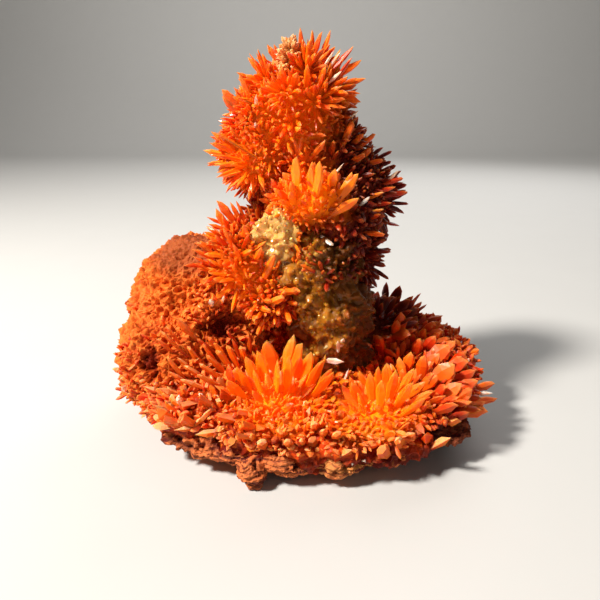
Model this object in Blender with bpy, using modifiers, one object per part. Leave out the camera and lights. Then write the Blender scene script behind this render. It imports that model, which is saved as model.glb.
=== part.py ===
"""Calcite cluster: a stalactite-like column of orange crystals on a crystal-coated plate of brown rock.

Three bodies of different mineral are modelled, each a closed solid:
  matrix_plate    the brown host rock, seen round the rim and underneath, with the small flat spot it rests on
  calcite_core    the older cream calcite stem, bare at the front of the column
  crystal_growth  the orange calcite that coats the plate, the hump and the column, all grown together

Everything is in metres with +Z up. The viewer stands at -Y, and X runs to the viewer's right.
The origin is the centre of the flat spot underneath.
"""

import math
import random

import bmesh
import bpy
from mathutils import Matrix, Vector, noise

MM = 0.001
SEED = 11

# The gap that keeps two touching minerals apart, since a mesh holds 32-bit numbers.
CONTACT_GAP = 0.3 * MM

# The oval rim of the plate: its centre, its half widths, and how far its back stands above its front.
RIM_CENTRE = (3, -1)
RIM_HALF = (46, 37)
RIM_RISE = 10
RIM_RISE_POWER = 0.6
RIM_LUMPS = 22

# How finely a lump is divided before it is remeshed, how its skin is relaxed, and the noise that roughens it:
# the last is its fall-off, the step between its octaves and their number.
LUMP_DETAIL = 4
RELAX = {"factor": 0.5, "rounds": 2}
NOISE = (0.6, 2.2, 4)

# Lumps are ellipsoids: (centre, radii) in millimetres.
ROCK_LUMPS = [
    ((2, 0, 6.5), (40, 33, 7.5)),
    ((34, -21, 8), (14, 14, 4)),
    ((-20, -22, 7), (15, 13, 4.5)),
    ((-28, 4, 12), (19, 26, 8)),
    ((-11, -36, 4), (4, 4, 4)),
]
ROCK_RIM = {"height": 4.8, "inset": 6.5, "radii": (8.5, 8.5, 3.6)}
ROCK_SKIN = {"voxel": 1.3, "roughness": 1.4, "grain": 10, "faces": 760}

CORE_LUMPS = [
    ((9, -2, 20), (11, 11, 12)),
    ((8, -5, 32), (10.5, 11, 13)),
    ((5, -6, 44), (11, 10.5, 13)),
    ((-3, -7, 53), (9, 8.5, 8)),
]
CORE_SKIN = {"voxel": 1.0, "roughness": 1.1, "grain": 4, "faces": 460}

# The orange growth that bears no long crystals: the crust over the plate and the knobbly hump at the left.
CRUST_LUMPS = [
    ((2, 0, 11), (42, 33, 7)),
    ((-28, 4, 28), (19, 18, 23)),
    ((-34, -6, 19), (15, 18, 15)),
    ((-12, 14, 22), (24, 19, 14)),
    ((23, 10, 18), (15, 16, 11)),
    ((0.5, 1, 85.5), (9, 9, 8.5)),
    ((-6, -20, 13), (8, 7, 8)),
    ((17, -24, 11), (8, 6, 6)),
]
CRUST_RIM = {"height": 9.5, "inset": 6.5, "radii": (8.5, 8.5, 4.4)}

# The growth that does: (centre, radii, crystal length, crystal width).
BEARING_LUMPS = [
    ((0, 2, 77), (12, 12, 11), 6.5, 3.8),
    ((-9.5, 0, 74), (11.5, 11, 11), 5.8, 3.6),
    ((7, 3, 73), (10.5, 11, 11), 6.5, 3.8),
    ((14, 5, 62), (11.5, 14, 12), 6.5, 4.0),
    ((3, -7, 62), (11.5, 11, 9), 5.5, 4.0),
    ((2, 4, 58), (15, 14, 14), 5.5, 3.8),
    ((-15, -5, 47), (9.5, 10, 10.5), 6.2, 3.6),
    ((-8, -8, 38), (8.5, 8, 9), 4.5, 3.4),
    ((-8, 2, 46), (9, 9, 16), 5, 3.8),
    ((13, 3, 46), (8.5, 11.5, 12), 4, 3.4),
    ((6, 11, 38), (15, 13, 20), 5.5, 4.4),
    ((34, -12, 14), (13, 16, 6.5), 7, 4.6),
    ((32, 8, 17), (12, 14, 8), 5.5, 4.4),
    ((6, 26, 19), (22, 10, 7), 5.5, 4.8),
    ((-25, -20, 13), (16, 12, 8.5), 4.5, 4.4),
    ((5, -32, 8.5), (27, 7, 5.5), 4.2, 4.2),
]
GROWTH_SKIN = {"voxel": 1.4, "roughness": 1.6, "grain": 6, "faces": 800}

# The crystals of a lump are slender points, spaced by a share of their width.
SPACING_SHARE = 1.46
POINT_DEPTH = 1.4
POINT_LEAN = 0.2
PLACES_TRIED = 600

# None stands deeper than this share of another lump's radius, nor this near the bare core.
BURIED_SHARE = 0.98
CORE_SHARE = 1.04

# Near the plate no crystal stands on an underside.
PLATE_TOP = 20
LOWEST_ROOT = 7

# The crown and the rosettes, whose larger crystals spray out from a point:
# (centre, axis, half angle, count, reach, width). Each widens from its root to a waist and ends in a point.
SPRAYS = [
    ((0.5, 1, 84.5), (0, 0, 1), 105, 40, 18, 4.4),
    ((-6, -24, 13), (0, -0.1, 1), 80, 26, 16.5, 6.2),
    ((18, -27, 10.5), (0.1, -0.1, 1), 80, 22, 15, 5.8),
    ((3, -6, 60), (0.1, -0.4, 1), 60, 10, 17, 5.0),
    ((38, -14, 11), (1, -0.3, 0.8), 65, 10, 15.5, 5.2),
]
SPRAY_LEAN = 0.12
SPRAY_ROOT_SHARE = 0.3
WAIST_SHARE = 0.6
ROOT_WIDTH_SHARE = 0.62

# All crystals have this many sides, are a little flattened, and differ in size within these ranges.
CRYSTAL_SIDES = 6
FLATNESS = 0.68
POINT_LENGTHS = (0.8, 1.1)
SPRAY_LENGTHS = (0.82, 1.0)
WIDTHS = (0.85, 1.2)

COLOURS = {
    "matrix_plate": ((0.23, 0.075, 0.035), 0.85),
    "calcite_core": ((0.62, 0.43, 0.20), 0.55),
    "crystal_growth": ((0.80, 0.16, 0.02), 0.35),
}


def clear_scene():
    """Remove every object, so that only the cluster is left."""
    for obj in list(bpy.data.objects):
        bpy.data.objects.remove(obj, do_unlink=True)


def collection(name):
    """A new collection in the scene."""
    made = bpy.data.collections.new(name)
    bpy.context.scene.collection.children.link(made)
    return made


def mineral(name):
    """A Principled material in the mineral's own colour."""
    colour, roughness = COLOURS[name]
    made = bpy.data.materials.new(name)
    made.use_nodes = True
    shader = made.node_tree.nodes["Principled BSDF"]
    shader.inputs["Base Color"].default_value = (*colour, 1.0)
    shader.inputs["Roughness"].default_value = roughness
    shader.inputs["Metallic"].default_value = 0.0
    return made


def object_from(name, mesh, group):
    """A new object in the collection, with its origin at the shared one."""
    made = bpy.data.objects.new(name, mesh)
    group.objects.link(made)
    return made


def apply_modifiers(obj):
    """Give the object the mesh that its modifiers make."""
    bpy.context.view_layer.update()
    graph = bpy.context.evaluated_depsgraph_get()
    mesh = bpy.data.meshes.new_from_object(obj.evaluated_get(graph))
    obj.modifiers.clear()
    obj.data = mesh


def rim_lumps(height, inset, radii):
    """Lumps set round the oval rim, which rises towards the back."""
    lumps = []
    for step in range(RIM_LUMPS):
        around = 2 * math.pi * step / RIM_LUMPS
        x = RIM_CENTRE[0] + (RIM_HALF[0] - inset) * math.cos(around)
        y = RIM_CENTRE[1] + (RIM_HALF[1] - inset) * math.sin(around)
        z = height + RIM_RISE * ((math.sin(around) + 1) / 2) ** RIM_RISE_POWER
        lumps.append(((x, y, z), radii))
    return lumps


def lump_body(name, lumps, skin, group):
    """Ellipsoid lumps grown into one skin, roughened and thinned to about the skin's number of faces."""
    cage = bmesh.new()
    for centre, radii in lumps:
        place = Matrix.Translation(Vector(centre) * MM) @ Matrix.Diagonal((*(Vector(radii) * MM), 1))
        bmesh.ops.create_icosphere(cage, subdivisions=LUMP_DETAIL, radius=1, matrix=place)
    mesh = bpy.data.meshes.new(name)
    cage.to_mesh(mesh)
    cage.free()
    body = object_from(name, mesh, group)
    remesh = body.modifiers.new("skin", "REMESH")
    remesh.mode = "VOXEL"
    remesh.voxel_size = skin["voxel"] * MM
    relax = body.modifiers.new("relax", "SMOOTH")
    relax.factor = RELAX["factor"]
    relax.iterations = RELAX["rounds"]
    apply_modifiers(body)
    roughen(body.data, skin["roughness"] * MM, skin["grain"] * MM)
    thin = body.modifiers.new("thin", "DECIMATE")
    thin.ratio = skin["faces"] / (2 * len(body.data.polygons))
    thin.use_collapse_triangulate = True
    apply_modifiers(body)
    return body


def roughen(mesh, height, grain):
    """Push each point along its normal by fractal noise."""
    normals = [vertex.normal.copy() for vertex in mesh.vertices]
    for vertex, normal in zip(mesh.vertices, normals):
        vertex.co += normal * height * noise.fractal(vertex.co / grain, *NOISE)


def cut_flat(body):
    """Take away everything below the ground and close the cut, which is the flat spot it rests on."""
    work = bmesh.new()
    work.from_mesh(body.data)
    everything = work.verts[:] + work.edges[:] + work.faces[:]
    cut = bmesh.ops.bisect_plane(
        work, geom=everything, plane_co=(0, 0, 0), plane_no=(0, 0, 1), clear_inner=True
    )
    edges = [item for item in cut["geom_cut"] if isinstance(item, bmesh.types.BMEdge)]
    bmesh.ops.holes_fill(work, edges=edges, sides=0)
    bmesh.ops.recalc_face_normals(work, faces=work.faces[:])
    work.to_mesh(body.data)
    work.free()


def boolean(body, other, operation, own_overlaps=False):
    """Join or cut the body with another object, and apply the result."""
    join = body.modifiers.new(operation.lower(), "BOOLEAN")
    join.operation = operation
    join.object = other
    join.solver = "EXACT"
    join.use_self = own_overlaps
    apply_modifiers(body)


def drop_chips(body):
    """Keep the largest connected piece, and drop the chips that a cut has freed."""
    work = bmesh.new()
    work.from_mesh(body.data)
    unseen = set(work.verts)
    pieces = []
    while unseen:
        edge_of_piece = [unseen.pop()]
        piece = set(edge_of_piece)
        while edge_of_piece:
            vertex = edge_of_piece.pop()
            fresh = {edge.other_vert(vertex) for edge in vertex.link_edges} - piece
            piece |= fresh
            edge_of_piece.extend(fresh)
        unseen -= piece
        pieces.append(piece)
    pieces.sort(key=len)
    chips = [vertex for piece in pieces[:-1] for vertex in piece]
    bmesh.ops.delete(work, geom=chips, context="VERTS")
    work.to_mesh(body.data)
    work.free()


def helper(name, mesh, group):
    """A cutter or a piece to be fused, which isn't a part of its own."""
    made = object_from(name, mesh, group)
    made.hide_render = True
    made.display_type = "WIRE"
    return made


def swollen(body, distance, group):
    """A copy of the body pushed out along its normals, used to cut its neighbour clear of it."""
    mesh = body.data.copy()
    normals = [vertex.normal.copy() for vertex in mesh.vertices]
    for vertex, normal in zip(mesh.vertices, normals):
        vertex.co += normal * distance
    return helper(body.name + "_clearance", mesh, group)


def depth_in(point, centre, radii):
    """How deep the point lies in an ellipsoid: under 1 inside, 1 on its skin."""
    return Vector([(point[axis] - centre[axis]) / radii[axis] for axis in range(3)]).length


def sphere_directions(count):
    """Directions spread evenly over a sphere along a golden spiral."""
    golden = math.pi * (3 - math.sqrt(5))
    for step in range(count):
        height = 1 - 2 * (step + 0.5) / count
        ring = math.sqrt(1 - height * height)
        yield Vector((ring * math.cos(golden * step), ring * math.sin(golden * step), height))


def crystal_roots(rng):
    """Where the crystals stand on the bearing lumps' open skin: (point, direction, length, width)."""
    solid = [lump[:2] for lump in BEARING_LUMPS] + CRUST_LUMPS
    found = []
    for centre, radii, length, width in BEARING_LUMPS:
        for out in sphere_directions(PLACES_TRIED):
            point = Vector([centre[axis] + radii[axis] * out[axis] for axis in range(3)])
            buried = any(depth_in(point, *lump) < BURIED_SHARE for lump in solid if lump[0] != centre)
            in_core = any(depth_in(point, *lump) < CORE_SHARE for lump in CORE_LUMPS)
            underside = point.z < LOWEST_ROOT or (point.z < PLATE_TOP and out.z < 0)
            if buried or in_core or underside:
                continue
            square = Vector([out[axis] / radii[axis] for axis in range(3)]).normalized()
            radial = (point - Vector(centre)).normalized()
            found.append((point, (square + radial).normalized(), length, width))
    rng.shuffle(found)
    roots = []
    for point, direction, length, width in found:
        apart = width * SPACING_SHARE
        if all((point - kept[0]).length > apart for kept in roots):
            roots.append((point, direction, length, width))
    return roots


def standing(root, direction, spin):
    """The matrix that stands a crystal on its root, flattened one way."""
    upright = direction.to_track_quat("Z", "Y").to_matrix().to_4x4()
    flatten = Matrix.Diagonal((1, FLATNESS, 1, 1))
    return Matrix.Translation(root) @ upright @ Matrix.Rotation(spin, 4, "Z") @ flatten


def add_point(work, root, direction, length, width, spin):
    """A six-sided crystal that narrows all the way from its root to its tip."""
    place = standing(root, direction, spin) @ Matrix.Translation((0, 0, length / 2))
    bmesh.ops.create_cone(
        work, cap_ends=True, segments=CRYSTAL_SIDES, radius1=width / 2, radius2=0, depth=length, matrix=place
    )


def add_dogtooth(work, root, direction, length, width, spin):
    """A six-sided crystal that widens to a waist and then ends in a point."""
    waist = length * WAIST_SHARE
    place = standing(root, direction, spin) @ Matrix.Translation((0, 0, waist / 2))
    root_radius = width / 2 * ROOT_WIDTH_SHARE
    made = bmesh.ops.create_cone(
        work,
        cap_ends=True,
        segments=CRYSTAL_SIDES,
        radius1=root_radius,
        radius2=width / 2,
        depth=waist,
        matrix=place,
    )
    faces = {face for vertex in made["verts"] for face in vertex.link_faces}
    caps = [face for face in faces if len(face.verts) == CRYSTAL_SIDES]
    top = max(caps, key=lambda face: (face.calc_center_median() - root).dot(direction))
    poked = bmesh.ops.poke(work, faces=[top])
    poked["verts"][0].co = root + direction * length


def leaning(direction, most, rng):
    """The direction turned a little at random."""
    return (direction + Vector([rng.uniform(-most, most) for _ in range(3)])).normalized()


def lump_crystals(work, rng):
    """The slender points that stand on the bearing lumps."""
    for point, direction, length, width in crystal_roots(rng):
        direction = leaning(direction, POINT_LEAN, rng)
        root = (point - direction * POINT_DEPTH) * MM
        full = (length * rng.uniform(*POINT_LENGTHS) + POINT_DEPTH) * MM
        size = width * rng.uniform(*WIDTHS) * MM
        add_point(work, root, direction, full, size, rng.uniform(0, math.pi))


def spray_crystals(work, rng):
    """The larger crystals of the crown and the rosettes, spread over a cap round each spray's axis."""
    for centre, axis, half_angle, count, reach, width in SPRAYS:
        turn = Vector(axis).to_track_quat("Z", "Y")
        cap_share = (1 - math.cos(math.radians(half_angle))) / 2
        for out in list(sphere_directions(round(count / cap_share)))[:count]:
            direction = leaning(turn @ out, SPRAY_LEAN, rng)
            full = reach * rng.uniform(*SPRAY_LENGTHS) * MM
            root = Vector(centre) * MM + direction * full * SPRAY_ROOT_SHARE
            size = width * rng.uniform(*WIDTHS) * MM
            add_dogtooth(work, root, direction, full * (1 - SPRAY_ROOT_SHARE), size, rng.uniform(0, math.pi))


def crystals(group):
    """All the crystals as one mesh of closed, overlapping bodies."""
    rng = random.Random(SEED)
    work = bmesh.new()
    lump_crystals(work, rng)
    spray_crystals(work, rng)
    mesh = bpy.data.meshes.new("crystals")
    work.to_mesh(mesh)
    work.free()
    return helper("crystals", mesh, group)


def main():
    """Model the rock, then the stem clear of it, then the growth clear of both."""
    clear_scene()
    parts = collection("calcite_cluster")
    helpers = collection("cutters_and_fused_pieces")

    plate = lump_body("matrix_plate", ROCK_LUMPS + rim_lumps(**ROCK_RIM), ROCK_SKIN, parts)
    cut_flat(plate)
    drop_chips(plate)
    plate_clearance = swollen(plate, CONTACT_GAP, helpers)

    core = lump_body("calcite_core", CORE_LUMPS, CORE_SKIN, parts)
    boolean(core, plate_clearance, "DIFFERENCE")
    core_clearance = swollen(core, CONTACT_GAP, helpers)

    bearing = [lump[:2] for lump in BEARING_LUMPS]
    growth = lump_body(
        "crystal_growth", CRUST_LUMPS + rim_lumps(**CRUST_RIM) + bearing, GROWTH_SKIN, parts
    )
    boolean(growth, crystals(helpers), "UNION", own_overlaps=True)
    boolean(growth, plate_clearance, "DIFFERENCE")
    boolean(growth, core_clearance, "DIFFERENCE")
    drop_chips(growth)

    for piece in (plate, core, growth):
        piece.data.materials.clear()
        piece.data.materials.append(mineral(piece.name))


main()
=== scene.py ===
import math
import random

import bmesh
import bpy
import numpy as np
from mathutils import Matrix, Vector, noise
from mathutils.bvhtree import BVHTree
from mathutils.kdtree import KDTree


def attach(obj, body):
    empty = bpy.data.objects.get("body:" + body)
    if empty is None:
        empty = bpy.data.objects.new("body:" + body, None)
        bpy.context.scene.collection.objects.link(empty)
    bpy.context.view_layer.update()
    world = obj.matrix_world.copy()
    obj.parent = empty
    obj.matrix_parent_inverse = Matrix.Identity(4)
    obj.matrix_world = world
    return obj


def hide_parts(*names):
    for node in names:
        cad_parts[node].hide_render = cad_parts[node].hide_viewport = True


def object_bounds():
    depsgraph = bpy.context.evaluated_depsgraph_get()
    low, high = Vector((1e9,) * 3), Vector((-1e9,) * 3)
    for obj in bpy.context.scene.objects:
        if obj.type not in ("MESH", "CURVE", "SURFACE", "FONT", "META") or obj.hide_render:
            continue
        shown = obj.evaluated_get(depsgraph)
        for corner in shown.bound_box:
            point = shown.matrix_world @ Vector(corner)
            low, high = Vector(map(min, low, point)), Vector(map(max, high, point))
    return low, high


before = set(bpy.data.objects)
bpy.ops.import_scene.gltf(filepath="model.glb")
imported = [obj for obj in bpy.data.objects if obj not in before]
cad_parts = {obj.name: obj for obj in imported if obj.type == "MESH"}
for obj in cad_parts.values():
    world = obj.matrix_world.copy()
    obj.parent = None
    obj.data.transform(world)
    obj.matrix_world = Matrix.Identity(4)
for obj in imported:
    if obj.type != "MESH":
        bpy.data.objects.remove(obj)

print("calcite cluster: frame loaded")

mm = 0.001                                   # all lengths below are in millimetres
cadBox = [list(corner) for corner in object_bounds()]
boxLow, boxHigh = (np.array(corner) / mm for corner in cadBox)
boxSlack = 1.0                               # how far a crystal may pass the CAD box
scene = bpy.context.scene
# the photograph's camera: its place, its fall over its reach, focal length and frame in pixels, and sensor
cameraValues = {"eye": (0, -137, 83), "drop": 190 / 520, "focal": 520, "frame": 600, "sensor": 36}


# every lump is an ellipsoid: centre, radii and, where crystals grow, the habit they have there
rimValues = {"centre": (3, -1), "half": (46, 37), "rise": 10, "power": 0.6, "lumps": 22}
rockLumps = [
    ((2, 0, 6.2), (39, 32, 7)), ((33, -20, 7.5), (11, 12, 3)), ((-20, -22, 6.8), (15, 13, 4.4)),
    ((-28, 4, 12), (19, 26, 8)), ((-11, -36.5, 4), (3.6, 3.2, 3.4)), ((-10.6, -37.6, 1.9), (1.7, 1.6, 1.9)),
]
coreLumps = [
    ((9, -2, 20), (11, 11, 12)), ((8, -5, 32), (10.5, 11, 13)), ((5, -6, 44), (11, 10.5, 13)),
    ((-3, -7, 53), (9, 8.5, 8)),
]
growthLumps = [
    ((2, 0, 10.5), (41, 32, 6.5), "plate"), ((-12, 14, 21.5), (23, 18, 13), "back"),
    ((23, 10, 17.5), (14, 15, 10), "fan"), ((0.5, 1, 85), (8, 8, 7.5), "crown"),
    ((-8, 0, 81), (7.5, 7.5, 7.5), "crown"),
    ((-6, -21, 11.5), (7, 6, 6), "star"), ((17, -25, 9.5), (7, 5.5, 4.5), "star"),
    ((0, 2, 76), (11, 11, 10), "crown"), ((-9.5, 0, 73.5), (10, 9.5, 10), "needles"),
    ((7, 3, 72.5), (9, 9.5, 10), "lances"), ((14, 5, 62), (10, 12, 10.5), "singles"),
    ((3, -7, 61.5), (10, 9, 7.5), "blades"), ((10, -6.5, 56.5), (7.5, 7.5, 6.5), "fingers"),
    ((2, 4, 58), (13.5, 12.5, 13), "lances"),
    ((-15, -5, 46.5), (8, 8.5, 9), "spray"), ((-8, -8, 38), (7.5, 7, 8), "fingers"),
    ((-8, 2, 46), (8, 8, 15), "spray"), ((13, 3, 46), (7.5, 10, 11), "singles"),
    ((6, 11, 38), (13.5, 12, 19), "back"), ((34, -12, 13), (12, 14, 5.5), "fan"),
    ((32, 8, 16), (11, 13, 7), "fan"), ((6, 26, 18), (21, 9, 6), "back"),
    ((-25, -20, 12), (15, 11, 7.5), "chips"), ((5, -32, 7.5), (26, 6, 5), "chunks"),
]
humpLumps = [
    ((-28, 4, 28), (18.6, 17.6, 22.6)), ((-34, -6, 19), (14.6, 17.6, 14.6)), ((-24, -4, 20), (14, 14, 13)),
]
# what the warped noise and the random draws of the shapes, the habits' crystals and the meshes start from
seeds = {"noise": 7, "shapes": 100, "habits": 500, "meshes": 900}
noise.seed_set(seeds["noise"])               # without it the ridges of the hump would change from run to run


def rimLumps(height, inset, radii):
    # lumps all round the rim, which rises to the back
    made = []
    (middleX, middleY), (halfX, halfY) = rimValues["centre"], rimValues["half"]
    for step in range(rimValues["lumps"]):
        around = 2 * math.pi * step / rimValues["lumps"]
        x = middleX + (halfX - inset) * math.cos(around)
        y = middleY + (halfY - inset) * math.sin(around)
        z = height + rimValues["rise"] * ((math.sin(around) + 1) / 2) ** rimValues["power"]
        made.append(((x, y, z), radii, "rim"))
    return made


def finished(name, mesh, material, slotName, *nodes):
    # a mesh as a piece of the model, in its material and in place of the nodes
    piece = bpy.data.objects.new(name, mesh)
    scene.collection.objects.link(piece)
    mesh.materials.clear()
    mesh.materials.append(material)
    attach(piece, "root")
    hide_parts(*nodes)
    return piece


def lumpSkin(name, lumps, voxel):
    # overlapping ellipsoids grown into one closed skin of even cells
    work = bmesh.new()
    for lump in lumps:
        place = Matrix.Translation(Vector(lump[0]) * mm) @ Matrix.Diagonal((*(Vector(lump[1]) * mm), 1))
        bmesh.ops.create_icosphere(work, subdivisions=4, radius=1, matrix=place)
    mesh = bpy.data.meshes.new(name + "Lumps")
    work.to_mesh(mesh)
    work.free()
    cage = bpy.data.objects.new(name + "Cage", mesh)
    scene.collection.objects.link(cage)
    remesh = cage.modifiers.new("skin", "REMESH")
    remesh.mode = "VOXEL"
    remesh.voxel_size = voxel * mm
    relax = cage.modifiers.new("relax", "SMOOTH")
    relax.factor = 0.5
    relax.iterations = 3
    bpy.context.view_layer.update()
    skin = bpy.data.meshes.new_from_object(cage.evaluated_get(bpy.context.evaluated_depsgraph_get()))
    skin.name = name
    bpy.data.objects.remove(cage)
    bpy.data.meshes.remove(mesh)
    return skin


def readPoints(mesh):
    points = np.empty(len(mesh.vertices) * 3)
    mesh.vertices.foreach_get("co", points)
    normals = np.empty(len(mesh.vertices) * 3)
    mesh.vertices.foreach_get("normal", normals)
    return points.reshape(-1, 3) / mm, normals.reshape(-1, 3)


def writePoints(mesh, points):
    mesh.vertices.foreach_set("co", (points * mm).ravel())
    mesh.update()


def paint(mesh, name, values):
    made = mesh.attributes.new(name, "FLOAT", "POINT")
    made.data.foreach_set("value", np.asarray(values, dtype=np.float32))


def each(points, function):
    return np.array([function(Vector(point)) for point in points])


def ripple(points, size, octaves=3, fade=0.6, step=2.2, shift=(0, 0, 0)):
    # soft noise in waves of a size, about -1 to 1
    return each(points / size + shift, lambda point: noise.fractal(point, fade, step, octaves))


def away(points, centre, radii=1):
    # distance from a centre, in radii where it is an ellipsoid's
    return np.linalg.norm((points - np.array(centre)) / np.array(radii), axis=1)


def within(points, lumps, share):
    # which points lie inside any of the lumps, scaled by a share
    found = np.zeros(len(points), dtype=bool)
    for lump in lumps:
        found |= away(points, lump[0], lump[1]) < share
    return found


def ramp(values, none, full):
    # 0 at one value, 1 at the other, straight in between
    return np.clip((values - none) / (full - none), 0, 1)


def clamp01(value):
    return min(max(value, 0), 1)


def unit(vectors):
    return vectors / np.maximum(np.linalg.norm(vectors, axis=-1, keepdims=True), 1e-9)


class Wire:
    # one output of a shader node, to do sums with
    def __init__(self, tree, socket=None):
        self.tree = tree
        self.socket = socket

    def node(self, kind, settings=None, inputs=None, output=0):
        made = self.tree.nodes.new(kind)
        for key, value in (settings or {}).items():
            setattr(made, key, value)
        for key, value in (inputs or {}).items():
            if isinstance(value, Wire):
                self.tree.links.new(value.socket, made.inputs[key])
            else:
                made.inputs[key].default_value = value
        return Wire(self.tree, made.outputs[output])

    def maths(self, operation, *values):
        return self.node("ShaderNodeMath", {"operation": operation}, dict(enumerate(values)))

    def __add__(self, other):
        return self.maths("ADD", self, other)

    def __sub__(self, other):
        return self.maths("SUBTRACT", self, other)

    def __rsub__(self, other):
        return self.maths("SUBTRACT", other, self)

    def __mul__(self, other):
        return self.maths("MULTIPLY", self, other)

    __radd__ = __add__
    __rmul__ = __mul__

    def ease(self, low, high):
        # 0 below low, 1 above high, smooth between
        settings = {"interpolation_type": "SMOOTHSTEP"}
        return self.node("ShaderNodeMapRange", settings, {"Value": self, "From Min": low, "From Max": high})

    def noise(self, place, scale, detail):
        inputs = {"Vector": place, "Scale": scale, "Detail": detail, "Roughness": 0.55}
        return self.node("ShaderNodeTexNoise", None, inputs)

    def mix(self, factor, first, second):
        # sockets 6, 7 and output 2 are those of the colours
        first, second = (value if isinstance(value, Wire) else (*value, 1) for value in (first, second))
        return self.node("ShaderNodeMix", {"data_type": "RGBA"}, {0: factor, 6: first, 7: second}, 2)

    def upward(self):
        # how far the face looks up: 1 at the top, -1 underneath
        facing = self.node("ShaderNodeNewGeometry", None, None, "Normal")
        return self.node("ShaderNodeSeparateXYZ", None, {0: facing}, 2)

    def attribute(self, name):
        return self.node("ShaderNodeAttribute", {"attribute_name": name}, None, "Fac")


def newMaterial(name, uniform):
    made = bpy.data.materials.new(name)
    made.use_nodes = True
    shader = made.node_tree.nodes["Principled BSDF"]
    for key, value in uniform.items():
        shader.inputs[key].default_value = value
    start = Wire(made.node_tree)
    place = start.node("ShaderNodeTexCoord", None, None, "Object")
    return made, shader, start, place


def connect(shader, name, wire):
    wire.tree.links.new(wire.socket, shader.inputs[name])


def bumped(start, shader, height, distance, strength=1.0):
    # distance is the height of the bumps in mm
    inputs = {"Height": height, "Distance": distance * mm, "Strength": strength}
    connect(shader, "Normal", start.node("ShaderNodeBump", None, inputs))


# what each corner of a crystal carries: how far along it is, and the looks of its crystal
crystalMarks = ("along", "tone", "paintedGlow", "deep", "dust")
crystalLook = {
    "root": (0.38, 0.012, 0.001), "body": (0.98, 0.15, 0.003), "tip": (1.0, 0.28, 0.06),
    "redder": (0.74, 0.040, 0.002), "yellower": (1.0, 0.23, 0.004), "paintedGlow": (1.0, 0.26, 0.004),
    "deep": (0.085, 0.0035, 0.002), "dust": (0.84, 0.20, 0.05), "dustPale": (0.94, 0.42, 0.18),
    "roughness": (0.3, 0.55), "coat": 0.08, "specular": 0.26, "inner": (1.0, 0.13, 0.0),
}


# weight and scatter set the subsurface; inner is the strength of the emission for the painted glow
def orangeCrystal(name, weight, scatter, inner):
    look = crystalLook
    made, shader, start, place = newMaterial(name, {
        "Subsurface Weight": weight, "Subsurface Scale": scatter * mm, "Subsurface Radius": (1.0, 0.30, 0.05),
        "IOR": 1.48, "Specular IOR Level": look["specular"], "Coat Roughness": 0.12,
        "Emission Strength": inner})
    along, tone, paintedGlow, deep, dust = (start.attribute(mark) for mark in crystalMarks)
    streaks = start.noise(place, 420, 2)
    patches = start.noise(place, 70, 3)
    body = start.mix((tone + (patches - 0.5) * 1.2).ease(0.15, 0.55), look["redder"], look["body"])
    body = start.mix((tone + (streaks - 0.5) * 0.8).ease(0.55, 1.0), body, look["yellower"])
    # roots darker: partly painted shade between the crystals, partly their redder colour deeper in
    colour = start.mix(along.ease(0.0, 0.42), look["root"], body)
    colour = start.mix(along.ease(0.72, 1.0) * (0.75 - paintedGlow * 0.4), colour, look["tip"])
    # painted glow: bright yellow-orange near the roots of glowing crystals
    colour = start.mix(paintedGlow * (1 - along).ease(0.05, 0.75), colour, look["paintedGlow"])
    dusty = start.mix((tone + streaks - 0.5).ease(0.2, 0.9), look["dust"], look["dustPale"])
    upward = start.upward()
    # painted shade: faces that look down are darkened towards the root colour
    colour = start.mix(upward.ease(0.3, -0.6) * (1 - paintedGlow) * 0.5, colour, look["root"])
    # pale dust on faces that look up, which also serves as a painted highlight on the lit tops
    colour = start.mix(dust * upward.ease(0.0, 0.6), colour, dusty)
    # painted shade: near-black maroon where the crystal stands in shade, a little less towards its tip
    colour = start.mix(deep * (1 - along.ease(0.6, 1.0) * 0.25), colour, look["deep"])
    connect(shader, "Base Color", colour)
    smooth, matte = look["roughness"]
    connect(shader, "Roughness", smooth + streaks * (matte - smooth) + dust * 0.25)
    connect(shader, "Coat Weight", (1 - deep) * (1 - dust) * look["coat"])
    # painted glow: emission where the glow mark is, strongest near the roots
    connect(shader, "Emission Color", start.mix(paintedGlow * (1.2 - along * 0.6), (0, 0, 0), look["inner"]))
    bumped(start, shader, start.noise(place, 900, 2) * 0.2 + start.noise(place, 330, 3) * dust, 0.3, 0.7)
    return made


baseLook = {"dark": (0.16, 0.006, 0.001), "red": (0.55, 0.045, 0.002), "crumb": (0.85, 0.15, 0.01),
    "deep": (0.07, 0.004, 0.002)}


def growthBase():
    # the growth between the crystals
    made, shader, start, place = newMaterial("growthBase", {
        "Specular IOR Level": 0.1, "Subsurface Weight": 0.15, "Subsurface Scale": 2.0 * mm,
        "Subsurface Radius": (1.0, 0.2, 0.05), "Emission Strength": 0.25})
    grains = start.noise(place, 500, 3)
    paintedGlow = start.attribute("paintedGlow")
    colour = start.mix(start.noise(place, 90, 3).ease(0.35, 0.65), baseLook["dark"], baseLook["red"])
    colour = start.mix(grains.ease(0.5, 0.75), colour, baseLook["crumb"])
    # painted shade, near-black where the shade mark is
    colour = start.mix(start.attribute("deep") * 0.9, colour, baseLook["deep"])
    # painted glow, with its emission below
    colour = start.mix(paintedGlow * 0.9, colour, crystalLook["paintedGlow"])
    connect(shader, "Base Color", colour)
    connect(shader, "Emission Color", start.mix(paintedGlow, (0, 0, 0), crystalLook["inner"]))
    connect(shader, "Roughness", 0.3 + grains * 0.3)
    bumped(start, shader, grains, 0.35)
    return made


clearLook = {"rosy": (0.88, 0.52, 0.34), "clear": (0.92, 0.80, 0.68), "amber": (0.66, 0.17, 0.025),
    "sugar": (0.82, 0.45, 0.16)}


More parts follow.
